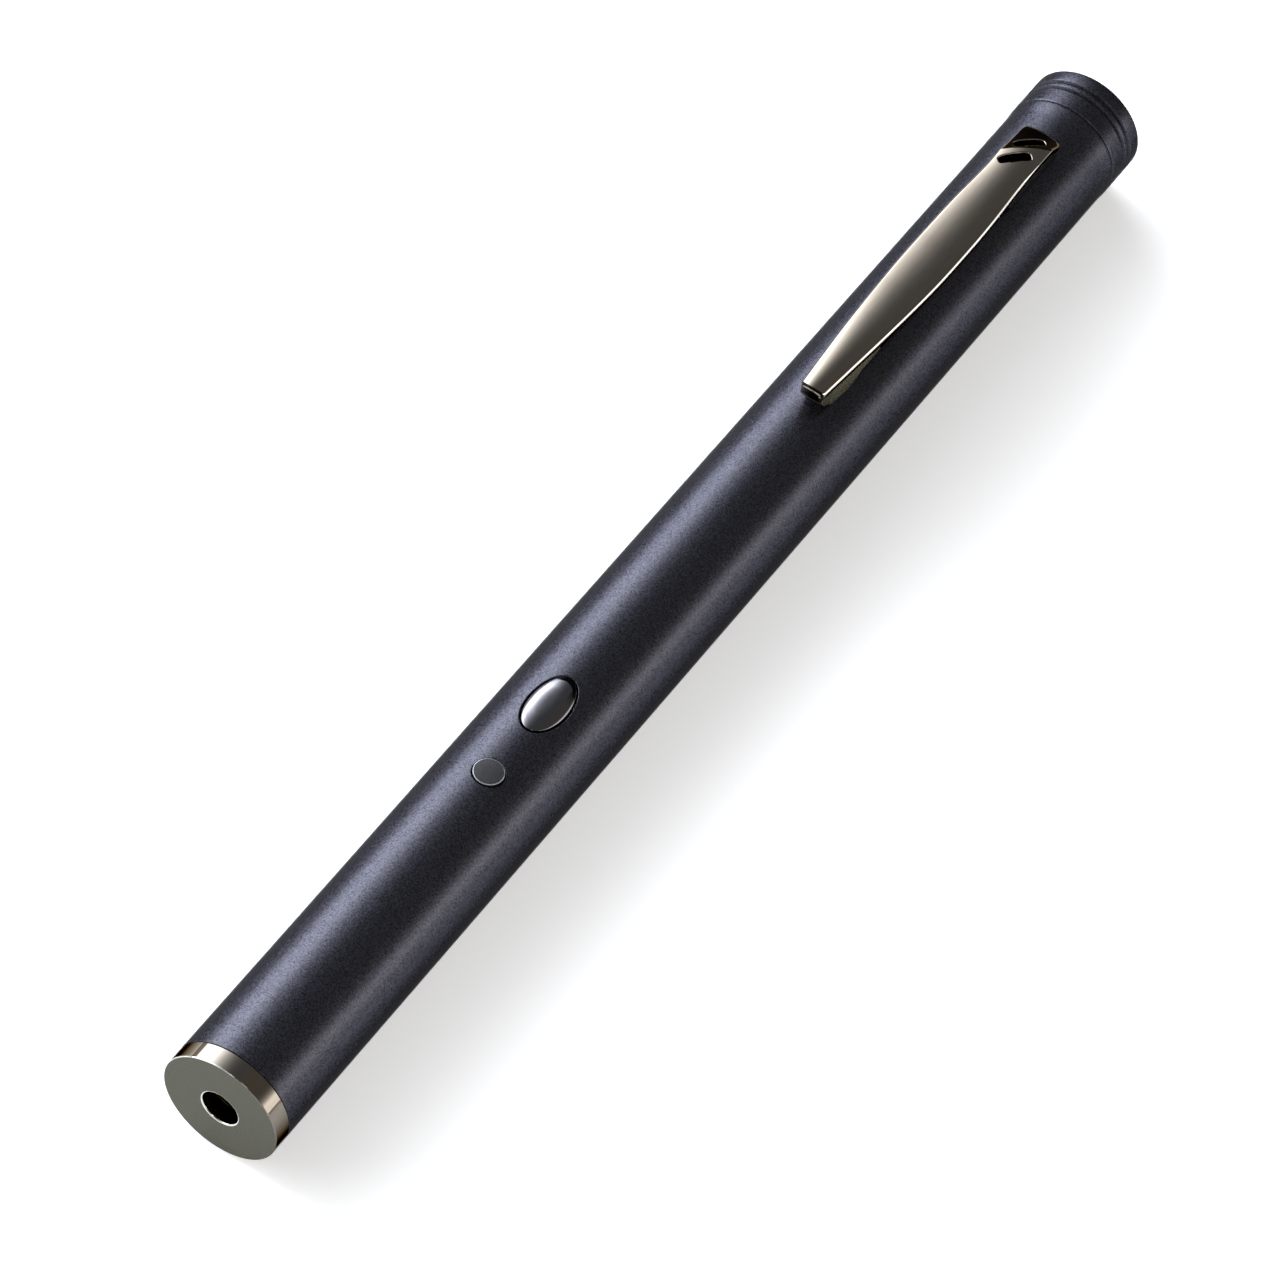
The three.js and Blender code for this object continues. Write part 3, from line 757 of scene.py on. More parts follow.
# Light pipe of smoky polycarbonate, bead-blasted on top: dark, with a soft sheen that breaks up
# into fine specks.
FROSTED_WINDOW = FlakePaint(
    "frosted_smoky_polycarbonate",
    "#15151b",
    roughness=0.32,
    ior=1.58,
    grain=0.14,
    shade=0.6,
    relief=0.004,
    coat=0.5,
    coat_roughness=0.12,
)

# The same disc's edge in a paler colour: a painted highlight for the light that the edge gathers, so the
# disc has a thin pale rim.
PAINTED_RIM_HIGHLIGHT = Finish(
    "painted_rim_highlight", "#8a8a92", roughness=0.15, ior=1.58, grain=0.2, shade=0.1, relief=0.0, coat=1.0
)

# Brass bar, turned on a lathe: a warm yellow metal with fine rings round the piece, which spread
# its highlight along it.
TURNED_BRASS = Finish(
    "turned_brass", "#b8934d", roughness=0.28, metallic=1.0, grain=0.5, stretch=(6, 0.3, 0.3), relief=0.003
)

# Black ABS, moulded in a spark-eroded tool: an even matt black with a fine leathery grain.
MOULDED_BLACK = Finish("moulded_black_abs", "#1b1b1d", roughness=0.55, grain=0.25, relief=0.006)

# Turned steel, blackened in an oxide bath: dark grey with a dull metal sheen.
BLACKENED_STEEL = Finish("blackened_steel", "#3a3a3c", roughness=0.4, metallic=1.0)

# Crown glass, moulded and polished: clear, with one sharp bright reflection.
OPTICAL_GLASS = Finish(
    "optical_glass",
    "#f2f7fb",
    roughness=0.02,
    blur=0.01,
    ior=1.52,
    grain=2.0,
    shade=0.01,
    relief=0.0,
    transmission=1.0,
)

# Spring steel wire, cold-drawn: a silky grey with a bright line along each turn.
DRAWN_WIRE = Finish("drawn_steel_wire", "#b4b2ac", roughness=0.25, metallic=1.0, grain=0.2)

# Kovar can and pins under electroplated gold: a warm and slightly blurred shine.
GOLD_PLATE = Finish("gold_plated_kovar", "#c9a35a", roughness=0.22, metallic=1.0, relief=0.001)

# ABS moulded in its natural ivory: a creamy, low and even sheen.
MOULDED_IVORY = Finish("moulded_ivory_abs", "#d8d3c6", roughness=0.5, shade=0.04, relief=0.005)

# Green solder mask, screened on a laminate of glass cloth: a glossy film, mottled by what is
# under it.
SOLDER_MASK = Finish(
    "green_solder_mask", "#1d5a38", roughness=0.35, grain=0.6, shade=0.18, relief=0.012, coat=0.4
)

# Nickel-plated strip, rolled and punched: a pale metal with faint rolling marks from side to side.
NICKEL_SHEET = Finish(
    "nickel_plated_sheet", "#b9b5aa", roughness=0.3, metallic=1.0, grain=0.25, stretch=(1, 0.15, 1)
)

# PBT, moulded in blue: an even colour, half matt.
MOULDED_BLUE = Finish("moulded_blue_pbt", "#2b4c94", roughness=0.5, grain=0.25, relief=0.004)

# Alumina under a black glaze, fired: dark, smooth and glassy.
GLAZED_CERAMIC = Finish("glazed_ceramic", "#1c1c1f", roughness=0.3, coat=0.5)

# White PPA, moulded round the light's leads: a bright half-matt white.
MOULDED_WHITE = Finish("moulded_white_ppa", "#e3dfd3", roughness=0.45, grain=0.2, shade=0.04)

# Amber epoxy, moulded round the capacitor: a waxy half gloss.
MOULDED_AMBER = Finish("moulded_amber_epoxy", "#c58531", roughness=0.4, grain=0.25, relief=0.003)

# Nylon, moulded in light grey: pale and soft, with hardly a reflection.
MOULDED_GREY = Finish("moulded_grey_nylon", "#c4c4c0", roughness=0.5, grain=0.25, shade=0.05)

# Steel can in a printed jacket, shrunk on: a dark blue film under a clear gloss.
PRINTED_JACKET = Finish(
    "printed_shrink_jacket", "#33475c", roughness=0.32, metallic=0.4, grain=0.4, shade=0.1, coat=0.3
)

# Drawn steel under bright nickel plating: a clean pale mirror, a little blurred.
PLATED_STEEL = Finish("nickel_plated_steel", "#c2c2be", roughness=0.22, metallic=1.0, relief=0.001)


# Pieces


def make_piece(
    name: str,
    shape: Shape,
    finish: Finish,
    body: Body,
    replaced: str,
    sharp_degrees: float = 50.0,
) -> bpy.types.Object:
    """Puts a shape into the scene as a piece of the pointer.

    Args:
        name: Name of the piece.
        shape: Its shape in millimetres.
        finish: Its finish.
        body: The CAD body that it rides on.
        replaced: The CAD node that it stands for.
        sharp_degrees: Edges that turn more than this stay crisp.

    Returns:
        The piece.
    """
    mesh = bpy.data.meshes.new(name)
    faces = shape.quads.tolist() + shape.triangles.tolist()
    mesh.from_pydata(to_frame(shape.points).tolist(), [], faces)
    mesh.validate()
    mesh.polygons.foreach_set("use_smooth", np.ones(len(mesh.polygons), bool))
    mesh.set_sharp_from_angle(angle=math.radians(sharp_degrees))
    mesh.materials.append(finish.build())
    piece = bpy.data.objects.new(name, mesh)
    bpy.context.scene.collection.objects.link(piece)
    weighted = piece.modifiers.new("even_flats", "WEIGHTED_NORMAL")
    weighted.keep_sharp = True
    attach(piece, body.value)
    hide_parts(replaced)
    log.info("%s: %d faces on %s", name, len(faces), body.value)
    return piece


def add_finish(piece: bpy.types.Object, finish: Finish) -> Array:
    """Gives a piece one more finish, which no face has yet.

    Args:
        piece: The piece.
        finish: The finish.

    Returns:
        The middles of the piece's faces, in the barrel's own measures.
    """
    piece.data.materials.append(finish.build())
    centres = np.zeros(len(piece.data.polygons) * 3)
    piece.data.polygons.foreach_get("center", centres)
    return from_frame(centres.reshape(-1, 3))


def assign(piece: bpy.types.Object, *chosen: Array) -> None:
    """Gives a piece's second finish to the first choice of faces, its third to the next, and so on.

    Args:
        piece: The piece.
        chosen: For each further finish, true for the faces that get it.
    """
    number = np.zeros(len(piece.data.polygons), np.int32)
    for index, faces in enumerate(chosen, 1):
        number[faces] = index
    piece.data.polygons.foreach_set("material_index", number)


def dress(finishes: Mapping[str, Finish]) -> None:
    """Gives CAD nodes their finishes.

    Args:
        finishes: The finish of each node by its name.
    """
    for name, finish in finishes.items():
        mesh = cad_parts[name].data
        mesh.materials.clear()
        mesh.materials.append(finish.build())
        log.info("%s: %s", name, finish.name)


@dataclass
class Barrel:
    """The painted tube, with the openings of the button, the window and the clip's tang."""

    front: float = 2.18
    flare_length: float = 2.0
    flare_rise: float = 0.094
    button_half: tuple[float, float] = (4.0, 2.25)
    window_half: float = 1.68
    tang_half: tuple[float, float] = (1.8, 1.5)
    window_block: float = 3.2
    button_block: float = 6.0
    tang_block: float = 3.4
    short_row: float = 0.5
    long_row: float = 6.0
    flare_rows: tuple[int, int] = (3, 8)
    edge: float = 0.12
    rim: float = 0.06
    rim_steps: int = 4
    facets: int = 144

    def radius(self, place: Array) -> Array:
        """The outer radius: even, then an eased rise over the flare's length up to the seam."""
        share = np.clip((place - SEAM + self.flare_length) / self.flare_length, 0, 1)
        return BARREL_RADIUS + self.flare_rise * share * share * (3 - 2 * share)

    def stations(self) -> tuple[Array, list[tuple[int, int]]]:
        """Works out the rows of the grid, close together at the openings and over the flare.

        Returns:
            The places of the rows, and the first and last row of each opening's block.
        """
        blocks = [
            (WINDOW_PLACE - self.window_block, WINDOW_PLACE + self.window_block),
            (BUTTON_PLACE - self.button_block, BUTTON_PLACE + self.button_block),
            (TANG_PLACE - self.tang_block, TANG_PLACE + self.tang_block),
        ]
        rows, spans = [np.array([self.front + self.rim])], []
        for low, high in blocks:
            cells = max(int((low - rows[-1][-1]) / self.long_row), 1)
            rows.append(np.linspace(rows[-1][-1], low, cells + 1)[1:])
            start = sum(map(len, rows)) - 1
            cells = round((high - low) / self.short_row)
            rows.append(np.linspace(low, high, cells + 1)[1:])
            spans.append((start, start + cells))
        flare = SEAM - self.flare_length
        rows.append(np.linspace(rows[-1][-1], flare, self.flare_rows[0] + 1)[1:])
        rows.append(np.linspace(flare, SEAM - self.rim, self.flare_rows[1] + 1)[1:])
        return np.concatenate(rows), spans

    def openings(self, spans: Sequence[tuple[int, int]]) -> list[Opening]:
        """Places the three openings, each an outline about its own place on the top line.

        A block takes the sixth of the columns that lies about the top line.

        Args:
            spans: First and last row of each opening's block.

        Returns:
            The openings, from the front.
        """
        columns = (self.facets * 5 // 12, self.facets * 7 // 12)
        sizes = [
            (WINDOW_PLACE, (self.window_half, self.window_half), ELLIPSE_POWER),
            (BUTTON_PLACE, self.button_half, ELLIPSE_POWER),
            (TANG_PLACE, self.tang_half, TANG_POWER),
        ]

        def outline(place: float, half: tuple[float, float], power: float) -> Callable:
            """Draws one opening.

            Args:
                place: Place of its middle.
                half: Its half length and half width.
                power: Its power as a superellipse.

            Returns:
                A function that gives the outline's plan for directions and a growth.
            """
            return lambda turn, growth: np.array([place, 0]) + superellipse(
                turn, half[0] + growth, half[1] + growth, power
            )

        return [Opening(span, columns, outline(*size)) for span, size in zip(spans, sizes, strict=True)]

    def skin(self, rows: Array, bore: bool) -> Sheet:
        """Makes the outer or the inner sheet.

        Row s and turn t give (-s, r sin t, r cos t). Over a plan of place and side y the height is
        the root of r r - y y.

        Args:
            rows: Places of the rows.
            bore: True for the inner sheet.

        Returns:
            The sheet.
        """
        turn = np.linspace(-math.pi, math.pi, self.facets, endpoint=False)
        radius = np.full(len(rows), BORE_RADIUS) if bore else self.radius(rows)
        x = np.broadcast_to(-rows[:, None], (len(rows), self.facets))
        side = radius[:, None] * np.sin(turn)
        grid = np.stack([x, side, radius[:, None] * np.cos(turn)], -1)
        plan = np.stack([-x, side], -1)

        def lift(flat: Array) -> Array:
            """The sheet's points over a plan."""
            reach = np.full(len(flat), BORE_RADIUS) if bore else self.radius(flat[:, 0])
            return np.stack([-flat[:, 0], flat[:, 1], np.sqrt(reach**2 - flat[:, 1] ** 2)], -1)

        return Sheet(grid, plan, lift, wraps=True)

    def shape(self) -> Shape:
        """Joins two sheets by the walls of the openings and by the two rims.

        Each rim is a quarter round from the outer sheet to the flat end.

        Returns:
            The tube.
        """
        rows, spans = self.stations()
        outer, inner = self.skin(rows, bore=False), self.skin(rows, bore=True)
        walls = []
        for opening in self.openings(spans):
            above, _ = outer.pierce(opening, rings=7, edge=self.edge)
            below, _ = inner.pierce(opening, rings=3, edge=0)
            walls.append((above, below))
        turn = np.linspace(-math.pi, math.pi, self.facets, endpoint=False)
        ends = []
        for row, place, sign in ((0, self.front, 1), (-1, SEAM, -1)):
            last = outer.loops[row]
            radius = self.radius(rows)[row]
            for tilt in np.linspace(0, QUARTER_TURN, self.rim_steps + 1)[1:]:
                reach = radius - self.rim * (1 - math.cos(tilt))
                x = -(place + sign * self.rim * (1 - math.sin(tilt)))
                ring = np.stack([np.full(self.facets, x), reach * np.sin(turn), reach * np.cos(turn)], -1)
                here = outer.add(ring)
                outer.faces.append(loop_quads(last, here)[:, ::-sign])
                last = here
            ends.append(last)
        shift = outer.count
        points = np.concatenate([*outer.points, *inner.points])
        quads = [outer.quads(), inner.quads()[:, ::-1] + shift]
        quads += [loop_quads(above, below + shift) for above, below in walls]
        quads.append(loop_quads(ends[0], inner.loops[0] + shift)[:, ::-1])
        quads.append(loop_quads(ends[1], inner.loops[-1] + shift))
        return tidied(points, np.concatenate(quads), np.zeros((0, 3), int))

    def build(self) -> None:
        """Builds and dresses the barrel."""
        make_piece("barrel_tube", self.shape(), SATIN_PAINT, Body.POINTER, "barrel")


@dataclass
class NoseRing:
    """The polished ring with its matte face, the beam's hole and a spigot in the barrel."""

    length: float = 2.1
    edge: float = 0.1
    rear_edge: float = 0.05
    # Faces of the outer front rim on this side, where the key panel's light falls, get the painted
    # highlight.
    highlight_side: float = 1.0
    aperture: float = 2.05
    aperture_edge: float = 0.15
    face_thickness: float = 1.9
    face_skin: float = 0.002
    spigot_length: float = 5.0
    spigot_radius: float = 5.35
    spigot_edge: float = 0.1
    seat_radius: float = 4.6
    facets: int = 160

    def build(self) -> None:
        """Builds the ring, gives its face the blasted finish, and paints a highlight on its rims in the
        pale one.
        """
        rear = self.length + self.spigot_length
        radius = BARREL_RADIUS
        outline = rounded(
            [
                (self.aperture, self.face_thickness, 0),
                (self.aperture, 0, self.aperture_edge),
                (radius, 0, self.edge),
                (radius, self.length, self.rear_edge),
                (self.spigot_radius, self.length, 0),
                (self.spigot_radius, rear, self.spigot_edge),
                (self.seat_radius, rear, 0),
                (self.seat_radius, self.face_thickness, 0),
            ]
        )
        skin = turned(outline, self.facets)
        piece = make_piece(
            "nose_ring_polished", skin, POLISHED_NICKEL, Body.POINTER, "nose_ring"
        )
        add_finish(piece, BLASTED_NICKEL)
        # Painted highlight: the beam hole's rim, and the outer front rim on its lit side, get a pale
        # nickel for the bright lines of light there.
        centres = add_finish(piece, PAINTED_HIGHLIGHT)
        reach = np.hypot(centres[:, 1], centres[:, 2])
        face = centres[:, 0] > -self.face_skin
        rim = (centres[:, 0] > -self.aperture_edge) & (reach < self.aperture + self.aperture_edge)
        on_highlight_side = centres[:, 1] < self.highlight_side
        rim |= on_highlight_side & (centres[:, 0] > -self.edge) & (reach > radius - self.edge)
        assign(piece, face, rim & ~face)


@dataclass
class Button:
    """The oval button's dome, its flange under the wall and its stem."""

    half: tuple[float, float] = (3.82, 2.04)
    top: float = 6.88
    proud: float = 0.02
    crown: float = 0.86
    crown_power: float = 2.6
    edge_power: float = 14.0
    dome_steps: int = 32
    middle_tilt: float = 1.3
    middle_spread: float = 0.41
    flange_margin: float = 0.45
    flange_top: float = 4.737
    flange_bottom: float = 4.237
    stem_radius: float = 1.5
    stem_bottom: float = 3.637
    facets: int = 96

    def build(self) -> None:
        """Builds and dresses the button.

        The dome's rim stands a little over the barrel all round. At a share q of the half sizes the
        dome has dropped from its top by c q ^ m + (1 - c) (1 - (1 - q ^ n) ^ (1 / 2)) of the way to it.
        The rings lie at q = (cos t) ^ (2 / n), close together at the steep rim, and from the middle
        tilt on at cos t over the middle's spread.
        """
        turn = np.linspace(0, FULL_TURN, self.facets, endpoint=False)
        length, width = self.half
        stem = (self.stem_radius, self.stem_radius)
        wide = (length + self.flange_margin, width + self.flange_margin)
        levels = [
            (stem, self.stem_bottom),
            (stem, self.flange_bottom),
            (wide, self.flange_bottom),
            (wide, self.flange_top),
            (self.half, self.flange_top),
        ]
        rim = np.sqrt(BARREL_RADIUS**2 - (np.sin(turn) * width) ** 2) + self.proud
        for tilt in np.linspace(0, QUARTER_TURN, self.dome_steps + 1)[:-1]:
            share = math.cos(tilt) ** (2 / self.edge_power)
            if tilt >= self.middle_tilt:
                share = math.cos(tilt) / self.middle_spread
            drop = self.crown * share**self.crown_power
            drop += (1 - self.crown) * (1 - math.sqrt(max(1 - share**self.edge_power, 0)))
            levels.append(((length * share, width * share), self.top - (self.top - rim) * drop))
        rings = [level_ring(BUTTON_PLACE, *level, self.facets) for level in levels]
        skin = stacked(np.stack(rings))
        make_piece("push_button_dome", skin, SMOKY_CHROME, Body.BUTTON, "push_button")


@dataclass
class Window:
    """The indicator's clear disc, its flange and the stem that leads the light up."""

    radius: float = 1.6
    top: float = 6.64
    crown: float = 0.05
    crown_shares: tuple[float, ...] = (0.95, 0.7, 0.35)
    edge: float = 0.09
    edge_steps: int = 6
    flange_radius: float = 2.05
    flange_top: float = 5.004
    flange_bottom: float = 4.404
    stem_radius: float = 1.1
    stem_bottom: float = 1.49
    facets: int = 64

    def build(self) -> None:
        """Builds and dresses the window.

        Its edge is a quarter round. At a share q of the flat's radius its top is 1 - q q of the crown
        higher than at the edge.
        """
        levels = [
            (self.stem_radius, self.stem_bottom),
            (self.stem_radius, self.flange_bottom),
            (self.flange_radius, self.flange_bottom),
            (self.flange_radius, self.flange_top),
            (self.radius, self.flange_top),
        ]
        for tilt in np.linspace(0, QUARTER_TURN, self.edge_steps + 1):
            reach = self.radius - self.edge * (1 - math.cos(tilt))
            levels.append((reach, self.top - self.edge * (1 - math.sin(tilt))))
        flat = self.radius - self.edge
        levels += [(flat * q, self.top + self.crown * (1 - q**2)) for q in self.crown_shares]
        rings = [level_ring(WINDOW_PLACE, (reach, reach), height, self.facets) for reach, height in levels]
        skin = stacked(np.stack(rings))
        piece = make_piece(
            "indicator_light_pipe", skin, FROSTED_WINDOW, Body.POINTER, "indicator_window"
        )
        # Painted highlight: the disc's rounded edge gets the pale rim colour.
        centres = add_finish(piece, PAINTED_RIM_HIGHLIGHT)
        reach = np.hypot(centres[:, 0] + WINDOW_PLACE, centres[:, 1])
        assign(piece, (reach > flat) & (centres[:, 2] > self.top - self.edge))


@dataclass
class PocketClip:
    """The crowned spring arm, its nose with a keel, and its tall foot with a tang and two slots."""

    heel: float = 148.78
    length: float = 47.3
    width: float = 5.34
    crest: float = 6.6
    rise: float = 3.5
    crown: float = 0.3
    bevel: float = 0.2
    foot_bevel_share: float = 0.3
    bevel_fade: tuple[float, float] = (140.0, 143.5)
    blunt: float = 0.35
    plate: float = 0.85
    inset: float = 0.08
    lip: float = 0.1
    fillet: float = 0.02
    fall_place: float = 144.6
    fall_slant: float = 0.77
    fall_depth: float = 1.2
    heel_edge: float = 0.35
    heel_share: float = 0.97
    slot_half: tuple[float, float] = (0.53, 1.8)
    slot_places: tuple[float, float] = (142.64, 145.69)
    slot_side: float = -0.3
    slot_power: float = 4.5
    slots_reach: float = 3.4
    slot_tilt: float = math.radians(47)
    slot_arch: float = 0.12
    slot_depth: float = 1.3
    slot_edge: float = 0.14
    slot_rings: int = 4
    block_half: float = 1.02
    slant_reach: float = 1.55
    nose_corner: float = 0.6
    nose_bow: float = 0.4
    nose_half: float = 1.42
    bow_length: float = 3.0
    nose_edge: float = 0.38
    nose_drop: float = 0.9
    glint: tuple[float, float] = (0.1, 0.155)
    nose_length: float = 3.0
    nose_crowding: float = 1.4
    arm_end: float = 138.0
    keel_end: float = 125.0
    finish_margin: float = 0.1
    tang_half: tuple[float, float] = (1.5, 1.2)
    tang_heights: tuple[float, float] = (5.8, 6.9)
    tang_facets: int = 32

    # Points across the top and those of a slot's block, rows over the nose, the arm, the gap before a
    # block, the block and the heel, and lines along the underside in shares of its half width.
    columns: int = 29
    block_columns: tuple[int, int] = (1, 25)
    nose_rows: int = 15
    arm_rows: int = 65
    gap_rows: int = 10
    block_rows: int = 8
    heel_rows: int = 14
    under_lines: tuple[float, ...] = (0.6, 0.2, -0.2, -0.6)

    # Rows over the nose's rounded front, from its tip, beside those at the glint, edge and corner.
    tip_rows: tuple[float, ...] = (0, 0.01, 0.03, 0.06, 0.2, 0.25, 0.3, 0.48)

    # The bevel's points, as how far in and how far down they lie, in shares of the bevel.
    bevel_steps: tuple[tuple[float, float], ...] = ((0.86, 0.08), (0.08, 0.86), (0.0, 1.15))

    # How far along from the heel, then shares of the width, of the rise of the edge over the barrel,
    # of the drop of the nose's keel to the barrel, and of the foot's.
    rows: tuple[tuple[float, float, float, float, float], ...] = (
        (0, 0.64, 0.774, 0, 1),
        (0.004, 0.74, 0.774, 0, 1),
        (0.012, 0.82, 0.774, 0, 1),
        (0.025, 0.845, 0.774, 0, 1),
        (0.046, 0.84, 0.774, 0, 1),
        (0.095, 0.83, 0.774, 0, 1),
        (0.116, 0.83, 0.774, 0, 1),
        (0.145, 0.838, 0.774, 0, 1),
        (0.2, 0.868, 0.773, 0, 1),
        (0.215, 0.878, 0.772, 0, 0.75),
        (0.232, 0.892, 0.772, 0, 0.3),
        (0.25, 0.91, 0.771, 0, 0.08),
        (0.27, 0.928, 0.771, 0, 0),
        (0.32, 0.968, 0.768, 0, 0),
        (0.38, 0.992, 0.766, 0, 0),
        (0.43, 0.998, 0.77, 0, 0),
        (0.48, 1, 0.783, 0, 0),
        (0.535, 0.993, 0.798, 0, 0),
        (0.6, 0.962, 0.824, 0, 0),
        (0.66, 0.918, 0.861, 0, 0),
        (0.725, 0.858, 0.901, 0.06, 0),
        (0.778, 0.805, 0.934, 0.25, 0),
        (0.815, 0.762, 0.955, 0.43, 0),
        (0.838, 0.733, 0.966, 0.54, 0),
        (0.853, 0.714, 0.972, 0.74, 0),
        (0.865, 0.699, 0.977, 0.9, 0),
        (0.877, 0.683, 0.981, 1, 0),
        (0.932, 0.612, 0.995, 1, 0),
        (0.945, 0.595, 0.998, 0.93, 0),
        (0.96, 0.574, 1, 0.74, 0),
        (0.972, 0.561, 1, 0.64, 0),
        (0.982, 0.549, 1, 0.52, 0),
        (0.99, 0.54, 1, 0.32, 0),
        (0.996, 0.533, 1, 0.12, 0),
        (1, 0.528, 1, 0, 0),
    )

    def share(self, place: Array, column: int) -> Array:
        """Reads one column of the rows at any place, along a monotone cubic.

        The slope at a row is the harmonic mean of the slopes on its two sides, or zero where they
        differ in sign, and each span is Hermite's cubic.

        Args:
            place: The places.
            column: Number of the column.

        Returns:
            The share at each place.
        """
        table = np.array(self.rows)
        along, value = table[:, 0], table[:, column]
        step, slope = np.diff(along), np.diff(value) / np.diff(along)
        product = slope[:-1] * slope[1:]
        total = slope[:-1] + slope[1:]
        inner = np.where(product > 0, 2 * product / np.where(total == 0, 1, total), 0)
        ends = np.concatenate([[slope[0]], inner, [slope[-1]]])
        where = np.clip((self.heel - place) / self.length, 0, 1)
        span = np.clip(np.searchsorted(along, where, side="right") - 1, 0, len(step) - 1)
        t = (where - along[span]) / step[span]
        rise = step[span] * (ends[span] * t * (1 - t) ** 2 - ends[span + 1] * t**2 * (1 - t))
        return value[span] + (value[span + 1] - value[span]) * t * t * (3 - 2 * t) + rise

    def rounding(self, place: Array, reach: float) -> Array:
        """A quarter ellipse over the nose's last reach: 1 - root(1 - u u), u being 1 at the tip."""
        into = np.clip((self.heel - self.length + reach - place) / reach, 0, 1)
        return 1 - np.sqrt(1 - into**2)

    def bow(self, place: Array, side: Array) -> Array:
        """How far the nose is curved back: (y / h) ^ 2 of the bow, eased out over the bow's length."""
        fade = np.clip(1 - (place - self.heel + self.length) / self.bow_length, 0, 1) ** 2
        return self.nose_bow * np.minimum((side / self.nose_half) ** 2, 1) * fade

    def half(self, place: Array) -> Array:
        """Half width of the clip, with the nose's two corners rounded off."""
        round_off = self.nose_corner * self.rounding(place, self.nose_corner)
        return self.share(place, 1) * self.width / 2 - round_off

    def border(self, place: Array) -> Array:
        """Works out the half width of the top inside its bevel.

        Over the foot the bevel is drawn in by an eased step.

        Args:
            place: The places.

        Returns:
            The half width at each place.
        """
        share = np.clip((place - self.bevel_fade[0]) / np.ptp(self.bevel_fade), 0, 1)
        share = share * share * (3 - 2 * share) * (1 - self.foot_bevel_share)
        return self.half(place) - self.bevel * (1 - share)

    def edge(self, place: Array, side: Array) -> Array:
        """Works out the height of the top's edge.

        The foot is level up to a line slanted as the slots are. From there it falls evenly to the
        heel, where r - root(r r - t t) rounds it off.

        Args:
            place: The places.
            side: The side at each place.

        Returns:
            The height at each place.
        """
        start = self.fall_place + self.fall_slant * side
        fall = self.fall_depth * np.clip((place - start) / (self.heel - start), 0, 1)
        into = np.clip(place - self.heel + self.heel_edge, 0, self.heel_edge * self.heel_share)
        fall += self.heel_edge - np.sqrt(self.heel_edge**2 - into**2)
        fall += self.nose_drop * self.rounding(place, self.nose_edge)
        return self.crest + self.share(place, 2) * self.rise - fall

    def top(self, plan: Array) -> Array:
        """Works out the crowned top: the edge's height plus the crown's rise times 1 - (y / b) ^ 2.

        Args:
            plan: Place and side of each point.

        Returns:
            The points of the top over the plan.
        """
        half = self.border(plan[:, 0])
        height = self.edge(plan[:, 0], plan[:, 1]) + self.crown * (1 - (plan[:, 1] / half) ** 2)
        return np.stack([-plan[:, 0], plan[:, 1], height], -1)

    def slot(self, place: float) -> Callable[[Array, float], Array]:
        """Draws a slot: a long superellipse, bent to a slight arch and turned by the tilt.

        Args:
            place: Place of the slot's middle.

        Returns:
            A function that gives the outline's plan for directions and a growth.
        """

        def outline(turn: Array, growth: float) -> Array:
            """Draws the slot's outline.

            Args:
                turn: Direction of each point.
                growth: How far the outline lies outside the slot's own.

            Returns:
                Place and side of each point.
            """
            half = np.array(self.slot_half) + growth
            flat = superellipse(turn, half[0], half[1], self.slot_power)
            across = flat[:, 0] + self.slot_arch * (0.5 - (flat[:, 1] / self.slot_half[1]) ** 2)
            cosine, sine = math.cos(self.slot_tilt), math.sin(self.slot_tilt)
            along = across * cosine + flat[:, 1] * sine
            side = flat[:, 1] * cosine - across * sine
            return np.stack([place + along, self.slot_side + side], -1)

        return outline

    def plan(self) -> tuple[Array, list[tuple[int, int]]]:
        """Lays out the top's grid.

        Column by column, the rows run evenly from one station to the next. The stations at the slots
        are slanted as the slots are, and those at the nose and the heel lie straight across.

        Returns:
            Place and side by row and column, and the first and last row of each slot's block.
        """
        across = np.linspace(-1, 1, self.columns)
        off = across * self.border(np.array(self.slot_places[:1]))
        slant = np.clip(off - self.slot_side, -self.slant_reach, self.slant_reach)
        slant = slant * math.tan(self.slot_tilt)
        front = np.sort([*self.tip_rows, *self.glint, self.nose_edge, self.nose_corner])
        front = self.heel - self.length + front
        shares = np.linspace(0, 1, self.nose_rows + 1)[1:] ** self.nose_crowding
        nose = np.concatenate([front, front[-1] + self.nose_length * shares])
        arm = np.linspace(nose[-1], self.arm_end, self.arm_rows + 1)[1:]
        places = [np.repeat(np.concatenate([nose, arm])[:, None], len(across), 1)]
        spans, last = [], places[0][-1]
        for slot_place in self.slot_places:
            for target, steps in ((-self.block_half, self.gap_rows), (self.block_half, self.block_rows)):
                goal = slot_place + target + slant
                share = np.linspace(0, 1, steps + 1)[1:, None]
                places.append(last + (goal - last) * share)
                last = goal
            count = sum(map(len, places)) - 1
            spans.append((count - self.block_rows, count))
        share = 1 - (1 - np.linspace(0, 1, self.heel_rows + 1)[1:, None]) ** 2
        places.append(last + (self.heel - last) * share)
        place = np.concatenate(places)
        return np.stack([place, across * self.border(place)], -1), spans

    def low(self, place: Array, side: Array) -> Array:
        """Works out the underside: the plate's, drawn down by the keel and the foot to the barrel.

        Args:
            place: The places.
            side: The side at each place.

        Returns:
            The height at each place.
        """
        under = self.crest + self.share(place, 2) * self.rise - self.plate - self.lip
        floor = np.sqrt(self.crest**2 - side**2)
        down = np.clip(np.maximum(self.share(place, 3), self.share(place, 4)), 0, 1)
        return under + (floor - under) * down

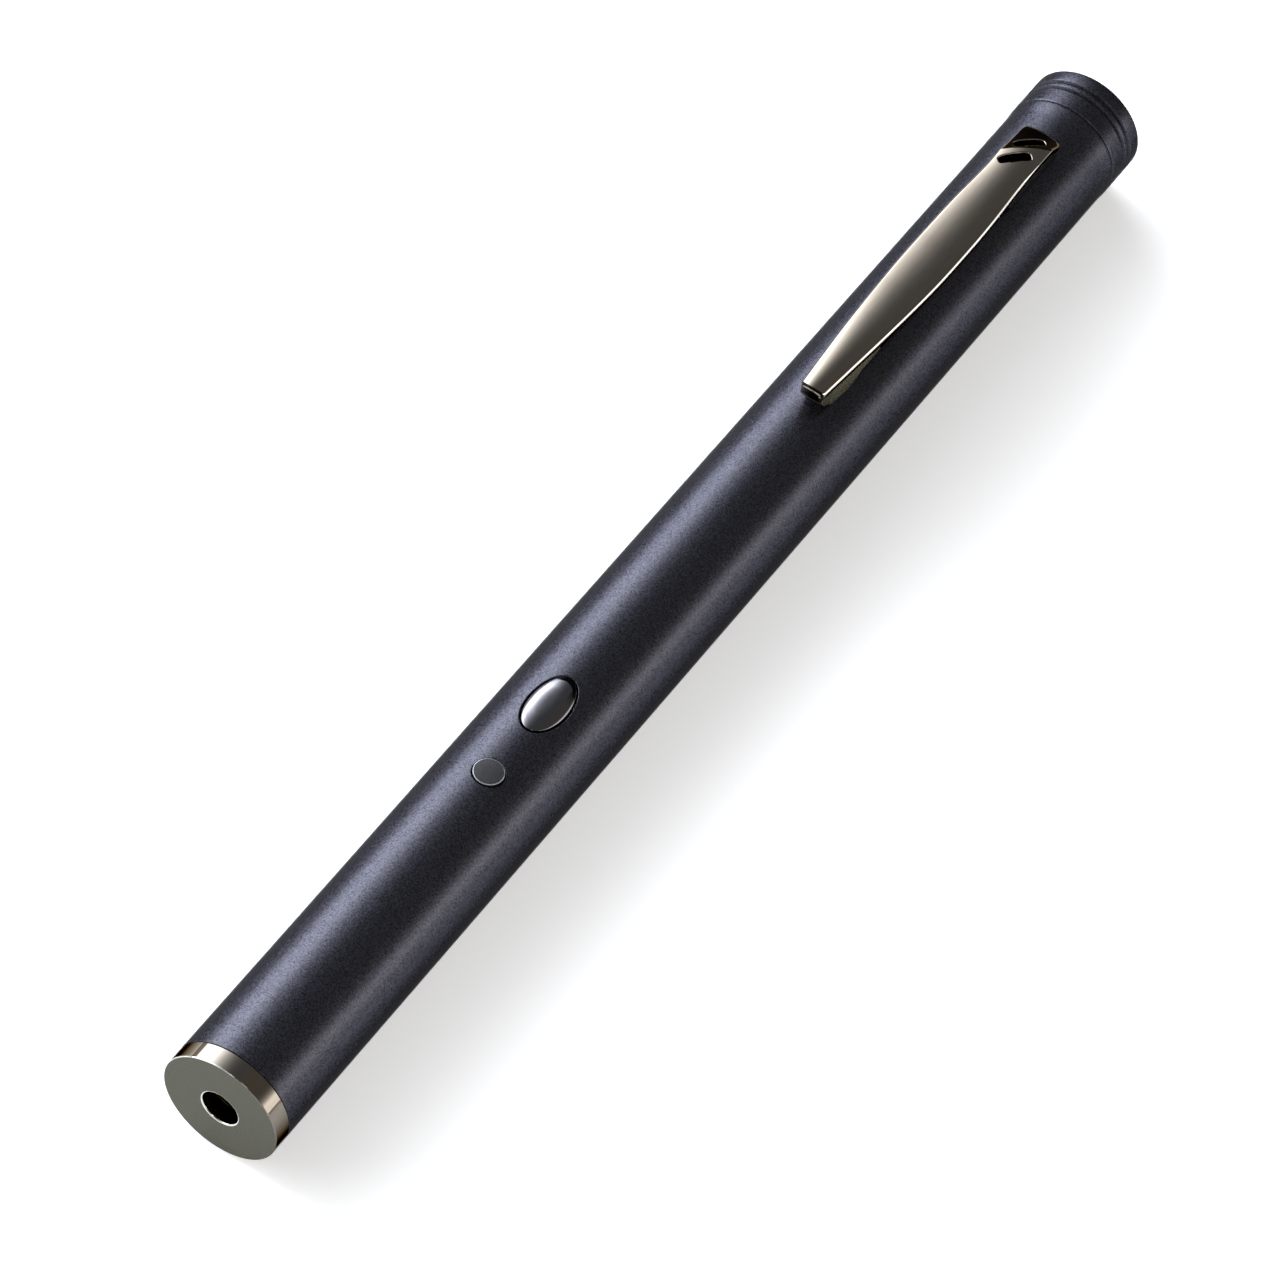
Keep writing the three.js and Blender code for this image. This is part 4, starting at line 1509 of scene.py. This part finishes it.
    def flank(self, place: Array, sign: int) -> Array:
        """One flank of each row, from the top's edge over the bevel and down to the underside.

        The fillet's width breaks the corners below the plate and at the bottom.

        Args:
            place: Place of each row's edge.
            sign: 1 for the right flank and -1 for the left.

        Returns:
            Points by row and step.
        """
        half, fillet = self.half(place), self.fillet
        bevel, wall = half - self.border(place), half - self.inset
        edge, low = self.edge(place, sign * half), self.low(place, wall)
        ledge = np.maximum(edge - self.plate, low + self.lip)
        steps = [(half - inward * bevel, edge - down * bevel) for inward, down in self.bevel_steps]
        steps += [
            (half, ledge + 4 * fillet),
            (half - fillet, ledge + fillet),
            (wall, ledge - 2 * fillet),
            (wall, low + 3 * fillet),
            (wall - 2 * fillet, low),
        ]
        return np.stack([np.stack([-place, sign * y, np.maximum(h, low)], -1) for y, h in steps], axis=1)

    def shape(self) -> Shape:
        """Closes the clip's skin, and adds the tang that goes into the barrel's slot.

        Each row is a ring: the crowned top in even shares of its width, a bevelled flank, the
        underside, and the other flank.

        Returns:
            The clip.
        """
        plan, spans = self.plan()
        grid = self.top(plan.reshape(-1, 2)).reshape(*plan.shape[:2], 3)
        sheet = Sheet(grid, plan, self.top, wraps=False)
        floors = []
        for span, slot_place in zip(spans, self.slot_places, strict=True):
            outline = self.slot(slot_place)
            block = Opening(span, self.block_columns, outline)
            rim, turn = sheet.pierce(block, self.slot_rings, self.slot_edge)
            floor = sheet.sink(outline(turn, 0.0), self.slot_depth)
            deep = sheet.add(floor)
            sheet.faces.append(loop_quads(rim, deep))
            middle = sheet.add(floor.mean(axis=0)[None])
            floors.append(fan(deep, int(middle[0])))
        right, left = plan[:, -1, 0], plan[:, 0, 0]
        under = [self.flank(right, 1)]
        for share in self.under_lines:
            place = (right + left) / 2 + share * (right - left) / 2
            side = share * (self.half(place) - self.inset)
            under.append(np.stack([-place, side, self.low(place, side)], -1)[:, None])
        under.append(self.flank(left, -1)[:, ::-1])
        rings = np.concatenate(under, axis=1)
        below = sheet.add(rings.reshape(-1, 3)).reshape(rings.shape[:2])
        ring = np.concatenate([sheet.loops, below], axis=1)
        strip = np.concatenate([ring[:, grid.shape[1] - 1 :], ring[:, :1]], axis=1)
        ends = []
        for row, step in ((0, -1), (-1, 1)):
            corner = np.concatenate(sheet.points)[ring[row]]
            middle = sheet.add(corner.mean(axis=0)[None])
            ends.append(fan(ring[row], int(middle[0]))[:, ::step])
        quads = np.concatenate([sheet.quads(), grid_quads(strip).reshape(-1, 4)])
        skin = tidied(np.concatenate(sheet.points), quads, np.concatenate([*floors, *ends]))
        skin.points[:, 0] -= self.bow(-skin.points[:, 0], skin.points[:, 1])
        turn = np.linspace(0, FULL_TURN, self.tang_facets, endpoint=False)
        flat = superellipse(turn, *self.tang_half, TANG_POWER)
        levels = [
            np.column_stack([flat[:, 0] - TANG_PLACE, flat[:, 1], np.full(len(flat), height)])
            for height in self.tang_heights
        ]
        return skin.with_part(stacked(np.stack(levels)))

    def build(self) -> None:
        """Builds the clip, with painted shade in black, the dull keel sides and a painted highlight on its
        right bevel.
        """
        piece = make_piece(
            "pocket_clip_arm", self.shape(), BLACK_NICKEL, Body.CLIP, "pocket_clip"
        )
        add_finish(piece, PAINTED_SHADE)
        add_finish(piece, DULL_NICKEL)
        centres = add_finish(piece, PAINTED_HIGHLIGHT)
        more, less = 1 + self.finish_margin, 1 - self.finish_margin
        place, side = -centres[:, 0], centres[:, 1]
        place = place - self.bow(place, side)
        deep = self.top(np.stack([place, side], -1))[:, 2] - centres[:, 2]
        # Painted shade: the walls and floors of the two slots are black.
        inside = np.abs(side - self.slot_side) < self.slot_half[1]
        inside &= np.abs(place - sum(self.slot_places) / 2) < self.slots_reach
        inside &= (deep > self.slot_edge * more) & (deep < self.slot_depth * more)
        reach = place - self.heel + self.length
        # Painted reflection: the nose's rounded front is black in two bands, as a dark room would mirror
        # there, with the polished strip at the glint left between them.
        front = (reach < self.nose_edge) & ((reach < self.glint[0]) | (reach > self.glint[1]))
        # Painted shade: below the plate, past the nose's blunt front, the faces towards the foot are
        # black, and the keel's sides are left dull.
        under = (reach > self.blunt) & (deep > self.plate + self.crown)
        dull = under & (place < self.keel_end)
        low = self.edge(place, side) - centres[:, 2]
        bevel = self.half(place) - self.border(place)
        # Painted highlight: the right bevel, up to the foot, gets the pale nickel for the bright line of
        # the fill panel's light.
        on_highlight_side = (side > self.border(place)) & (low < bevel * less) & (place < self.bevel_fade[1])
        # Painted shade: the left bevel is black.
        shaded = (side < -self.border(place)) & (low < bevel * more)
        black = inside | front | shaded | (under & ~dull)
        assign(piece, black, dull, on_highlight_side & (reach > self.nose_edge))


@dataclass
class TailCap:
    """The screw cap: a flared end with two fine grooves, and a threaded spigot.

    The seam's edge and the rear shoulder of each groove are turned rounder than the rest.
    """

    floor_front: float = 157.63
    spigot_front: float = 151.83
    spigot_radius: float = 5.35
    spigot_bore: float = 4.6
    pitch: float = 0.75
    thread_depth: float = 0.3
    thread_lead: float = 0.05
    thread_relief: float = 0.25
    thread_fade: float = 0.3
    thread_rows: int = 40
    seam_edge: float = 0.22
    groove_places: tuple[float, float] = (157.4, 158.4)
    groove_width: float = 0.6
    groove_depth: float = 0.42
    groove_lead: float = -0.06
    groove_mouth: float = 0.05
    groove_floor: float = 0.03
    groove_shoulder: float = 0.16
    end_radius: float = 0.25
    facets: int = 144

    def build(self) -> None:
        """Builds and dresses the cap.

        The thread is one right-handed helix: at place s and turn t the radius falls by the thread's
        depth times |2 frac(s / pitch + t / one turn) - 1|, faded in and out at its two ends.
        """
        front = SEAM + SEAM_GAP
        root = self.spigot_radius - self.thread_depth
        start, end = self.spigot_front + self.thread_lead, front - self.thread_relief
        threads = np.linspace(start, end, self.thread_rows)
        corners = [(root, front, 0.0), (TAIL_RADIUS, front, self.seam_edge)]
        for place in self.groove_places:
            corners += [
                (TAIL_RADIUS, place - self.groove_width / 2, self.groove_mouth),
                (TAIL_RADIUS - self.groove_depth, place - self.groove_lead, self.groove_floor),
                (TAIL_RADIUS, place + self.groove_width / 2, self.groove_shoulder),
            ]
        corners += [(TAIL_RADIUS, OVERALL_LENGTH, self.end_radius), (0, OVERALL_LENGTH, 0)]
        bore = [[0, self.floor_front], [self.spigot_bore, self.floor_front]]
        bore.append([self.spigot_bore, self.spigot_front])
        spigot = np.column_stack([np.full(self.thread_rows, self.spigot_radius), threads])
        shape = turned(np.concatenate([bore, spigot, rounded(corners)]), self.facets)
        place = -shape.points[:, 0]
        reach = np.hypot(shape.points[:, 1], shape.points[:, 2])
        on_thread = np.isclose(reach, self.spigot_radius)
        turn = np.arctan2(shape.points[:, 1], shape.points[:, 2]) / FULL_TURN
        wave = np.abs(2 * np.mod(place / self.pitch + turn, 1) - 1)
        fade = np.clip((place - threads[0]) / self.thread_fade, 0, 1)
        fade = fade * np.clip((threads[-1] - place) / self.thread_fade, 0, 1)
        cut = self.thread_depth * (1 - (1 - wave) * fade)
        factor = np.divide(reach - cut, reach, out=np.ones_like(reach), where=on_thread)
        shape.points[:, 1:] *= factor[:, None]
        make_piece("tail_cap_threaded", shape, SATIN_PAINT, Body.TAIL, "tail_cap")


@dataclass
class Springs:
    """The coil that presses the lens on its ring, and the conical one that presses the cells."""

    lens_ends: tuple[float, float] = (5.625, 13.975)
    lens_radii: tuple[float, float] = (3.225, 3.225)
    lens_wire: float = 0.45
    lens_turns: float = 5.0
    lens_sides: int = 10
    tail_ends: tuple[float, float] = (151.78, 156.68)
    tail_radii: tuple[float, float] = (2.2, 3.8)
    tail_wire: float = 0.7
    tail_turns: float = 3.5
    tail_sides: int = 14
    turn_steps: int = 36
    sharp_degrees: float = 40.0

    def path(self, ends: tuple[float, float], radii: tuple[float, float], turns: float) -> Array:
        """Winds a helix whose radius runs evenly from one end to the other.

        Args:
            ends: Places of the two ends.
            radii: Radius of the wire's middle at each end.
            turns: Number of turns.

        Returns:
            The points of the wire's centre line.
        """
        share = np.linspace(0, 1, round(turns * self.turn_steps) + 1)
        turn = FULL_TURN * turns * share
        radius = radii[0] + (radii[1] - radii[0]) * share
        place = ends[0] + (ends[1] - ends[0]) * share
        return np.column_stack([-place, np.cos(turn) * radius, np.sin(turn) * radius])

    def build(self) -> None:
        """Builds and dresses both springs."""
        lens = coil(
            self.path(self.lens_ends, self.lens_radii, self.lens_turns), self.lens_wire, self.lens_sides
        )
        tail = coil(
            self.path(self.tail_ends, self.tail_radii, self.tail_turns), self.tail_wire, self.tail_sides
        )
        for name, shape, body in (
            ("lens_spring", lens, Body.POINTER),
            ("tail_spring", tail, Body.TAIL_CARRIER),
        ):
            make_piece(f"{name}_coil", shape, DRAWN_WIRE, body, name, self.sharp_degrees)


# Inner pieces whose CAD shape stands as it is
INNER_FINISHES = {
    "module_housing": TURNED_BRASS,
    "module_holder": MOULDED_BLACK,
    "lens_ring": BLACKENED_STEEL,
    "collimating_lens": OPTICAL_GLASS,
    "laser_diode": GOLD_PLATE,
    "board_carrier": MOULDED_IVORY,
    "driver_board": SOLDER_MASK,
    "ground_strip": NICKEL_SHEET,
    "power_trimmer": MOULDED_BLUE,
    "driver_chip": MOULDED_BLACK,
    "resistor_left": GLAZED_CERAMIC,
    "resistor_right": GLAZED_CERAMIC,
    "indicator_led": MOULDED_WHITE,
    "capacitor": MOULDED_AMBER,
    "switch_body": MOULDED_BLACK,
    "switch_plunger": MOULDED_GREY,
    "positive_contact": NICKEL_SHEET,
    "cell_front": PRINTED_JACKET,
    "cell_front_terminal": PLATED_STEEL,
    "cell_rear": PRINTED_JACKET,
    "cell_rear_terminal": PLATED_STEEL,
    "tail_contact": NICKEL_SHEET,
}


# Studio

# Light of the room, which also keeps the panels' dark ends from looking darker than it.
ROOM_LIGHT = 0.22


def level_corners(x: tuple[float, float], y: tuple[float, float], height: float) -> Array:
    """Lays out a level rectangle.

    Args:
        x: Its two sides across x.
        y: Its two sides across y.
        height: Its height.

    Returns:
        The four corners, counterclockwise from above.
    """
    return np.array([(x[i], y[j], height) for i, j in ((0, 0), (1, 0), (1, 1), (0, 1))])


def stand(
    name: str, points: Array, quads: Array, material: bpy.types.Material, camera_sees: bool
) -> None:
    """Stands a surface in the studio. It isn't part of the pointer.

    Args:
        name: Name of the surface.
        points: Its points in metres.
        quads: Its faces.
        material: Its material.
        camera_sees: False hides it from the camera, though not from what mirrors it.
    """
    mesh = bpy.data.meshes.new(name)
    mesh.from_pydata(points.tolist(), [], quads.tolist())
    mesh.materials.append(material)
    surface = bpy.data.objects.new(name, mesh)
    surface.visible_camera = camera_sees
    bpy.context.scene.collection.objects.link(surface)


@dataclass(frozen=True)
class Panel:
    """A soft panel bent round the barrel's direction.

    At turn t from straight up it lies at (x, r sin t, r cos t). degrees gives the turns of its two long
    edges, and along the places of its two ends in metres. Between the two turns of fade its light falls
    off as a power of the share that is left, down to the room's. Outside the two places of bright it
    falls off smoothly to the end share.
    """

    name: str
    degrees: tuple[float, float]
    along: tuple[float, float]
    strength: float
    colour: str
    fade: tuple[float, float]
    bright: tuple[float, float]
    falloff: float = 4.3
    radius: float = 0.5
    end_fade: float = 0.14
    end_share: float = 0.45
    steps: int = 24

    def light(self) -> bpy.types.Material:
        """Makes the panel's glow.

        Returns:
            The glowing material.
        """
        material = bpy.data.materials.new(self.name)
        tree = fresh_tree(material)
        where = node(tree, "ShaderNodeTexCoord").outputs["Object"]
        place = node(tree, "ShaderNodeSeparateXYZ", links={0: where})
        around = node(
            tree,
            "ShaderNodeMath",
            {"operation": "ARCTAN2"},
            {0: place.outputs["Y"], 1: place.outputs["Z"]},
        )
        low, high = map(math.radians, self.fade)
        power = node(
            tree,
            "ShaderNodeMapRange",
            {"From Min": low, "From Max": high, "To Min": 1.0, "To Max": 0.0},
            {"Value": around.outputs[0]},
        )
        left = node(
            tree, "ShaderNodeMath", {"operation": "POWER", 1: self.falloff}, {0: power.outputs[0]}
        )
        level = node(
            tree, "ShaderNodeMath", {"operation": "MULTIPLY", 1: self.strength}, {0: left.outputs[0]}
        )
        for end, outwards in zip(self.bright, (-1, 1), strict=True):
            dim = node(
                tree,
                "ShaderNodeMapRange",
                {
                    "interpolation_type": "SMOOTHSTEP",
                    "From Min": end,
                    "From Max": end + outwards * self.end_fade,
                    "To Min": 1.0,
                    "To Max": self.end_share,
                },
                {"Value": place.outputs["X"]},
            )
            level = node(
                tree,
                "ShaderNodeMath",
                {"operation": "MULTIPLY"},
                {0: level.outputs[0], 1: dim.outputs[0]},
            )
        total = node(tree, "ShaderNodeMath", {"operation": "ADD", 1: ROOM_LIGHT}, {0: level.outputs[0]})
        glow = node(
            tree, "ShaderNodeEmission", {"Color": linear(self.colour)}, {"Strength": total.outputs[0]}
        )
        node(tree, "ShaderNodeOutputMaterial", links={"Surface": glow.outputs[0]})
        return material

    def build(self) -> None:
        """Stands the panel in the studio."""
        turn = np.radians(np.linspace(*self.degrees, self.steps + 1))
        x = np.repeat(np.array(self.along)[:, None], len(turn), 1)
        y, z = np.sin(turn) * self.radius, np.cos(turn) * self.radius
        grid = np.stack([x, np.broadcast_to(y, x.shape), np.broadcast_to(z, x.shape)], -1)
        quads = grid_quads(np.arange(x.size).reshape(x.shape))[0]
        stand(self.name, grid.reshape(-1, 3), quads, self.light(), camera_sees=False)


@dataclass
class Studio:
    """The camera, the pale floor, the world, two long soft panels beside the pointer and one above."""

    camera_place: tuple[float, float, float] = (0.36887, 0.15443, 0.51762)
    camera_right: tuple[float, float, float] = (-0.546, 0.8265, 0.1359)
    camera_up: tuple[float, float, float] = (-0.624, -0.5095, 0.5926)
    lens: float = 180.8
    sensor: float = 36.0
    nearest: float = 0.01
    key: Panel = Panel(
        "key_panel", (-79, 15), (-0.55, 0.6), 7.9, "#f3f8ff", fade=(-50, 12), bright=(-0.4, 0.1)
    )
    fill: Panel = Panel(
        "fill_panel", (48, 85), (-0.55, 0.25), 3.3, "#fffcf8", fade=(71, 44), bright=(-0.4, 2.0)
    )
    floor_half: float = 4.0
    floor_colour: str = "#f0f0f0"
    floor_lift: float = 0.42
    top_x: tuple[float, float] = (0.3, 0.8)
    top_y: tuple[float, float] = (-0.35, 0.35)
    top_height: float = 0.6
    top_strength: float = 3.5
    world_colour: str = "#fff5ea"
    horizon: tuple[float, float] = (4, 16)
    horizon_light: float = 0.8
    rear: tuple[float, float] = (-0.78, -0.62)
    rear_share: float = 0.05

    def camera(self) -> None:
        """Stands the camera where the photograph was taken from."""
        data = bpy.data.cameras.new("camera")
        data.lens = self.lens
        data.sensor_width = self.sensor
        data.clip_start = self.nearest
        camera = bpy.data.objects.new("camera", data)
        right, up = Vector(self.camera_right).normalized(), Vector(self.camera_up).normalized()
        turn = Matrix((right, up, right.cross(up))).transposed()
        camera.matrix_world = Matrix.Translation(self.camera_place) @ turn.to_4x4()
        bpy.context.scene.collection.objects.link(camera)
        bpy.context.scene.camera = camera

    def seen(self, tree: bpy.types.NodeTree) -> bpy.types.NodeSocket:
        """Tells the rays that see a surface from those that carry its light.

        Args:
            tree: The material's tree.

        Returns:
            One for rays from the camera, from gloss and through clear pieces, and else zero.
        """
        path = node(tree, "ShaderNodeLightPath")
        total = path.outputs["Is Camera Ray"]
        for kind in ("Is Glossy Ray", "Is Transmission Ray"):
            total = node(
                tree, "ShaderNodeMath", {"operation": "MAXIMUM"}, {0: total, 1: path.outputs[kind]}
            ).outputs[0]
        return total

    def floor(self) -> None:
        """A pale matt floor, lifted a little to white where it is seen, that keeps the shadow."""
        material = bpy.data.materials.new("pale_floor")
        tree = fresh_tree(material)
        paint = node(tree, "ShaderNodeBsdfDiffuse", {"Color": linear(self.floor_colour)})
        lift = node(
            tree, "ShaderNodeMath", {"operation": "MULTIPLY", 1: self.floor_lift}, {0: self.seen(tree)}
        )
        glow = node(tree, "ShaderNodeEmission", links={"Strength": lift.outputs[0]})
        both = node(tree, "ShaderNodeAddShader", links={0: paint.outputs[0], 1: glow.outputs[0]})
        node(tree, "ShaderNodeOutputMaterial", links={"Surface": both.outputs[0]})
        sides = (-self.floor_half, self.floor_half)
        quads = np.arange(4)[None]
        stand("floor", level_corners(sides, sides, 0.0), quads, material, camera_sees=True)

    def top_panel(self) -> None:
        """A flat soft panel overhead, in front of the pointer, that fills the floor's shadow."""
        material = bpy.data.materials.new("top_panel")
        tree = fresh_tree(material)
        glow = node(tree, "ShaderNodeEmission", {"Strength": self.top_strength})
        node(tree, "ShaderNodeOutputMaterial", links={"Surface": glow.outputs[0]})
        points = level_corners(self.top_x, self.top_y, self.top_height)
        stand("top_panel", points, np.arange(4)[None, ::-1], material, camera_sees=False)

    def world(self) -> None:
        """A dim room, pale just over the horizon, where it meets the floor, and dark to the rear."""
        world = bpy.data.worlds.new("studio")
        tree = fresh_tree(world)
        direction = node(
            tree,
            "ShaderNodeSeparateXYZ",
            links={0: node(tree, "ShaderNodeTexCoord").outputs["Generated"]},
        )
        near, far = (math.sin(math.radians(height)) for height in self.horizon)
        horizon = node(
            tree,
            "ShaderNodeMapRange",
            {
                "interpolation_type": "SMOOTHSTEP",
                "From Min": near,
                "From Max": far,
                "To Min": self.horizon_light,
                "To Max": 0.0,
            },
            {"Value": direction.outputs["Z"]},
        )
        ahead = node(
            tree,
            "ShaderNodeMapRange",
            {
                "interpolation_type": "SMOOTHSTEP",
                "From Min": self.rear[0],
                "From Max": self.rear[1],
                "To Min": self.rear_share,
                "To Max": 1.0,
            },
            {"Value": direction.outputs["X"]},
        )
        both = node(tree, "ShaderNodeMath", {"operation": "ADD", 1: ROOM_LIGHT}, {0: horizon.outputs[0]})
        dimmed = node(
            tree, "ShaderNodeMath", {"operation": "MULTIPLY"}, {0: both.outputs[0], 1: ahead.outputs[0]}
        )
        back = node(
            tree,
            "ShaderNodeBackground",
            {"Color": linear(self.world_colour)},
            {"Strength": dimmed.outputs[0]},
        )
        node(tree, "ShaderNodeOutputWorld", links={"Surface": back.outputs[0]})
        bpy.context.scene.world = world

    def build(self) -> None:
        """Sets up the whole studio."""
        bpy.context.scene.view_settings.view_transform = "Standard"
        self.camera()
        self.floor()
        self.world()
        self.key.build()
        self.fill.build()
        self.top_panel()


def main() -> None:
    """Builds the studio and every piece."""
    logging.basicConfig(level=logging.INFO, format="%(name)s %(message)s")
    Studio().build()
    for assembly in (Barrel(), NoseRing(), Button(), Window(), PocketClip(), TailCap(), Springs()):
        assembly.build()
        log.info("%s built", type(assembly).__name__)
    dress(INNER_FINISHES)


if __name__ == "__main__":
    main()
